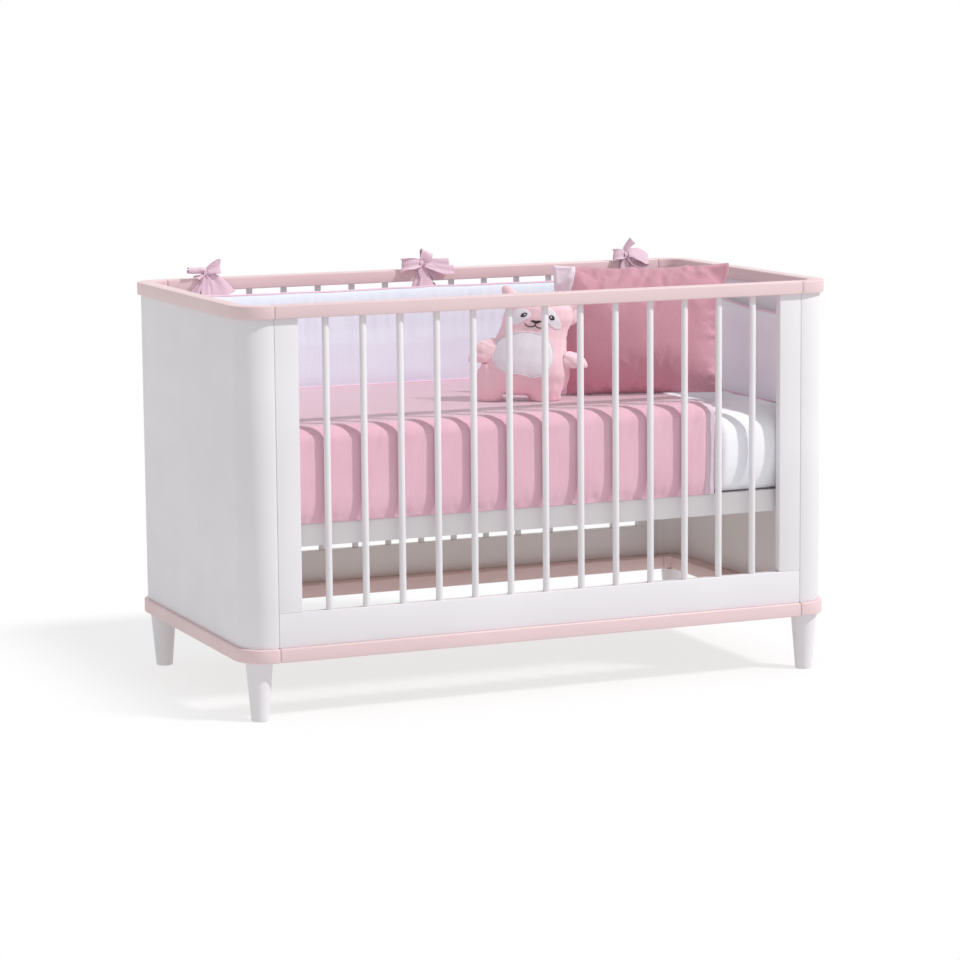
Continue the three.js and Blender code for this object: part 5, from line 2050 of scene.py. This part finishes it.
    def enlarged(self, node: str, name: str) -> Bench:
        """Copy one solid into the toy's own frame and fill it out by its share.

        Args:
            node: The solid's name.
            name: The piece's name.

        Returns:
            The piece on the bench.
        """
        piece = Bench.copy_of(node, name)
        piece.obj.data.transform(self.frame.inverted())
        for limb_node, factors, shift in self.fullness:
            if limb_node == node:
                points = [vertex.co for vertex in piece.obj.data.vertices]
                middle = sum(points, Vector()) / len(points)
                about = Matrix.Translation(middle + Vector(shift)) @ Matrix.Diagonal((*factors, 1))
                piece.obj.data.transform(about @ Matrix.Translation(-middle))
        return piece

    def hipped(self, place: Vector) -> Vector:
        """Widen the body's lower half and let it sag between the legs."""
        low = blend(*self.hip_span, place.z)
        return Vector((place.x * (1 + self.hips * low), place.y, place.z - self.sag * low))

    def creased(self, place: Vector, normal: Vector, limb: bool) -> Vector:
        """Give a point's place on the sewn skin.

        Args:
            place: The point in the toy's own frame.
            normal: The skin's direction there.
            limb: Whether the part is an arm or a leg.

        Returns:
            The point's new place.
        """
        edge = abs(normal.y)
        out = self.lump * wrinkle(place, self.lump_pitch, 2.2)
        out -= self.seam_depth * blend(self.seam_reach, 0.0, edge)
        near = blend(self.pucker_reach, 0.05, edge)
        out -= self.pucker * near * max(0.0, wrinkle(place, self.pucker_pitch, 6.1))
        if limb:
            slanted = Vector((place.x * 0.35 + place.z, place.y, place.x - place.z * 0.3))
            out -= self.fold * max(0.0, wrinkle(slanted, self.limb_pitch, 1.7))
        else:
            low = blend(*self.body_span, place.z)
            slanted = Vector((place.x + place.z * 0.4, place.y, place.z))
            out -= self.fold * low * max(0.0, wrinkle(slanted, self.body_pitch, 3.9))
        return place + normal * out

    def raised(self, rise: float, x: float, z: float) -> Vector:
        """Find a place a little off the body's front.

        Args:
            rise: How far off the body it is.
            x: Where it is across the toy's frame.
            z: How high it is there.

        Returns:
            The place.
        """
        spot, facing, _, _ = self.skin.ray_cast(Vector((x, -self.clear, z)), Vector((0, 1, 0)))
        if spot is None:
            spot, facing, _, _ = self.skin.find_nearest(Vector((x, 0, z)))
        return spot + facing * rise

    def almond(self, eye: tuple[float, float, float, float, float], share: float) -> list[Spot]:
        """Give an eye's outline.

        Args:
            eye: Its middle, half length, half height and slant.
            share: The share of that size.

        Returns:
            The outline's points.
        """
        x, z, half_length, half_height, slant = eye
        turn = math.radians(slant)
        points = []
        for number in range(self.eye_points):
            angle = TAU * number / self.eye_points
            along = half_length * share * math.cos(angle)
            up = half_height * share * math.sin(angle) * (1 - 0.25 * math.cos(angle) ** 2)
            points.append((
                x + along * math.cos(turn) - up * math.sin(turn),
                z + along * math.sin(turn) + up * math.cos(turn)))
        return points

    def patch(self, name: str, outline: Sequence[Spot], rise: float) -> Bench:
        """Lay a flat patch on the body's front.

        Args:
            name: The piece's name.
            outline: Its outline as x and z in the toy's frame.
            rise: How far its middle layer stands out from the body.

        Returns:
            The patch on the bench.
        """
        middle = [sum(values) / len(outline) for values in zip(*outline)]

        def laid(place: Vector) -> Vector:
            """Move a point of the unit grid to its ring and spoke on the body."""
            rim = zip(middle, passing(outline, place.x + 0.5, True))
            return self.raised(rise, *(start + (end - start) * (place.y + 0.5) for start, end in rim))

        piece = Bench.grid(name, self.spokes, self.rings)
        piece.sculpt(lambda place, normal: laid(place))
        piece.outward()
        piece.modify("SOLIDIFY", thickness=self.patch_thickness, offset=0.0)
        piece.modify("SMOOTH", factor=0.5, iterations=2)
        return piece

    def stitches(
        self, name: str, line: Sequence[Spot], radius: float, closed: bool,
    ) -> Bench:
        """Lay a row of thread on the body's front along a line of x and z.

        Args:
            name: The piece's name.
            line: The thread's line as x and z in the toy's frame.
            radius: The thread's radius.
            closed: Whether the line goes round.

        Returns:
            The thread on the bench.
        """
        points = []
        for number in range(self.stitch_steps + 1):
            share = min(number / self.stitch_steps, 0.999 if closed else 1.0)
            points.append(self.raised(1.1 * radius, *passing(line, share, closed)))
        return round_strip(name, points, radius)

    def sewn_on(
        self, piece: Bench, nodes: Sequence[str], material: bpy.types.Material, slot: Slot | None,
    ) -> None:
        """Put a part at the toy's place on the quilt, dress it and let it ride on the base.

        Args:
            piece: The part, in the toy's own frame.
            nodes: The solids it stands for.
            material: Its finish.
            slot: The record's slot, if it has one.
        """
        piece.obj.data.transform(self.frame)
        if nodes:
            floor = min(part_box(node)[0].z for node in nodes)
            piece.sculpt(lambda place, normal: Vector((place.x, place.y, max(place.z, floor))))
        piece.smooth(math.pi)
        piece.finish(Body.BASE, slot, [material], nodes)


@dataclass
class Studio:
    """A white floor, an even white sky, one soft sun from the front right, and the camera."""

    lens: float = 123.858
    sensor: float = 36.0
    sight: float = 100.0
    camera_place: Point = (-2.6857, -6.3317, 1.4003)
    yaw: float = math.radians(22.981)
    pitch: float = math.radians(8.2853)
    roll: float = math.radians(-0.5096)
    floor_size: float = 30.0
    sky_strength: float = 0.56
    sun_strength: float = 2.2
    sun_angle: float = math.radians(2.0)
    sun_heading: Point = (-0.788, 0.616, 0.0)
    sun_height: float = math.radians(50.0)
    lamp_strength: float = 2.55
    lamp_angle: float = math.radians(8.0)
    lamp_heading: Point = (-0.74, 0.67, 0.0)
    lamp_height: float = math.radians(41.0)
    floor_colour: float = 0.27
    floor_glow: float = 0.704
    bounce_colour: float = 0.4
    bounce_glow: float = 0.46
    shadow_side: tuple[float, float] = (0.64, 0.95)
    shadow_back: tuple[float, float] = (0.78, 0.98)

    def build(self) -> None:
        """Build the studio."""
        self.camera()
        self.floor()
        self.sky()
        self.sun()
        bpy.context.scene.view_settings.view_transform = "Standard"

    def camera(self) -> None:
        """Set up the camera at the photograph's angle."""
        data = bpy.data.cameras.new("camera")
        data.sensor_width = self.sensor
        data.lens = self.lens
        data.clip_end = self.sight
        camera = bpy.data.objects.new("camera", data)
        bpy.context.scene.collection.objects.link(camera)
        ahead = Vector((
            math.sin(self.yaw) * math.cos(self.pitch), math.cos(self.yaw) * math.cos(self.pitch),
            -math.sin(self.pitch)))
        level = Vector((math.cos(self.yaw), -math.sin(self.yaw), 0))
        upright = level.cross(ahead)
        right = math.cos(self.roll) * level + math.sin(self.roll) * upright
        up = math.cos(self.roll) * upright - math.sin(self.roll) * level
        turn = Matrix((right, up, -ahead)).transposed().to_4x4()
        camera.matrix_world = Matrix.Translation(self.camera_place) @ turn
        bpy.context.scene.camera = camera

    def seen(self, nodes: Nodes) -> bpy.types.NodeSocket:
        """Give 1 where the camera sees the studio directly, in gloss or through glass, and 0 elsewhere.

        Args:
            nodes: The tree that needs it.

        Returns:
            The share's socket.
        """
        path = nodes.add("ShaderNodeLightPath").outputs
        total = nodes.math("ADD", path["Is Camera Ray"], path["Is Glossy Ray"])
        return nodes.math("ADD", total, path["Is Transmission Ray"], clamp=True)

    def floor(self) -> None:
        """Lay a white floor that keeps the bed's soft shadow and throws light back at the bed."""
        floor = Bench.grid("studio_floor", 1, 1)
        floor.obj.data.transform(Matrix.Scale(self.floor_size, 4))
        material = bpy.data.materials.new("studio_floor_paper")
        material.use_nodes = True
        nodes = Nodes(material.node_tree)
        nodes.tree.nodes.clear()
        shadow = self.paper(nodes, self.floor_colour, self.floor_glow)
        near = self.between(nodes, self.near_bed(nodes), self.paper(nodes, 0.0, 1.0), shadow)
        thrown = self.paper(nodes, self.bounce_colour, self.bounce_glow)
        nodes.add("ShaderNodeOutputMaterial", {0: self.between(nodes, self.seen(nodes), thrown, near)})
        floor.obj.data.materials.append(material)
        self.floor_piece = floor.obj

    def between(
        self, nodes: Nodes, share: object, first: object, second: object,
    ) -> bpy.types.NodeSocket:
        """Mix two surfaces or lights by a share."""
        return nodes.add("ShaderNodeMixShader", {0: share, 1: first, 2: second}).outputs[0]

    def near_bed(self, nodes: Nodes) -> bpy.types.NodeSocket:
        """Give 1 on the floor round the bed, where it keeps a shadow, and 0 further off.

        Args:
            nodes: The floor's tree.

        Returns:
            The share's socket.
        """
        place = nodes.add("ShaderNodeTexCoord").outputs["Object"]
        split = nodes.add("ShaderNodeSeparateXYZ", {0: place})
        shares = []
        for axis, (start, end) in zip(split.outputs, (self.shadow_side, self.shadow_back)):
            shares.append(nodes.ramp(nodes.math("ABSOLUTE", axis), start, end, 1.0, 0.0))
        return nodes.math("MULTIPLY", *shares)

    def paper(self, nodes: Nodes, tone: float, glow: float) -> bpy.types.NodeSocket:
        """Give a matt white surface with a glow of its own.

        Args:
            nodes: The floor's tree.
            tone: How white the surface is.
            glow: How strongly it glows.

        Returns:
            The surface's socket.
        """
        matt = nodes.add("ShaderNodeBsdfDiffuse", {"Color": (tone, tone, tone, 1.0)})
        light = nodes.add("ShaderNodeEmission", {"Strength": glow})
        return nodes.add("ShaderNodeAddShader", {0: matt.outputs[0], 1: light.outputs[0]}).outputs[0]

    def sky(self) -> None:
        """Light the scene evenly from a white sky that looks white to the camera."""
        world = bpy.data.worlds.new("studio_sky")
        bpy.context.scene.world = world
        world.use_nodes = True
        nodes = Nodes(world.node_tree)
        nodes.tree.nodes.clear()
        light = nodes.add("ShaderNodeBackground", {"Color": WHITE, "Strength": self.sky_strength})
        white = nodes.add("ShaderNodeBackground", {"Color": WHITE, "Strength": 1.0})
        sky = self.between(nodes, self.seen(nodes), light.outputs[0], white.outputs[0])
        nodes.add("ShaderNodeOutputWorld", {0: sky})

    def sun(self) -> None:
        """Hang the key light at the front right, and a softer lamp that draws the floor's shadow."""
        self.unlit = self.distant(
            "key_sun", self.sun_strength, self.sun_angle, self.sun_heading, self.sun_height)
        self.shade(self.floor_piece)
        lit = self.distant(
            "floor_lamp", self.lamp_strength, self.lamp_angle, self.lamp_heading, self.lamp_height)
        lit.objects.link(self.floor_piece)

    def distant(
        self, name: str, strength: float, angle: float, course: Point, height: float,
    ) -> bpy.types.Collection:
        """Hang one far lamp.

        Args:
            name: The lamp's name.
            strength: Its strength.
            angle: How wide it looks from the bed.
            course: The flat direction that its light travels in.
            height: Its angle above the floor.

        Returns:
            The collection that says which pieces it lights.
        """
        data = bpy.data.lights.new(name, "SUN")
        data.energy = strength
        data.angle = angle
        lamp = bpy.data.objects.new(name, data)
        bpy.context.scene.collection.objects.link(lamp)
        heading = Vector(course).normalized() * math.cos(height)
        heading.z = -math.sin(height)
        lamp.rotation_mode = "QUATERNION"
        lamp.rotation_quaternion = heading.to_track_quat("-Z", "Y")
        receivers = bpy.data.collections.new(f"{name}_receivers")
        lamp.light_linking.receiver_collection = receivers
        return receivers

    def shade(self, piece: bpy.types.Object) -> None:
        """Keep the key light off a piece that the quilt above it shades."""
        self.unlit.objects.link(piece)
        self.unlit.collection_objects[-1].light_linking.link_state = "EXCLUDE"


def main() -> None:
    """Build the studio and the bed, and keep the key light off the base's frame."""
    logging.basicConfig(level=logging.INFO, format="%(name)s: %(message)s")
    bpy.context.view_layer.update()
    studio = Studio()
    studio.build()
    log.info("studio: camera, floor, sky and sun")
    finishes = Finishes()
    assemblies = (
        Woodwork(finishes), MattressBase(finishes), BaseBolts(finishes), Mattress(finishes),
        Coverlet(finishes), Bumper(finishes), TieBows(finishes), Cushion(finishes), Toy(finishes))
    for assembly in assemblies:
        assembly.build()
        log.info("%s is complete", type(assembly).__name__)
    studio.shade(bpy.data.objects["base_frame_board"])


if __name__ == "__main__":
    main()
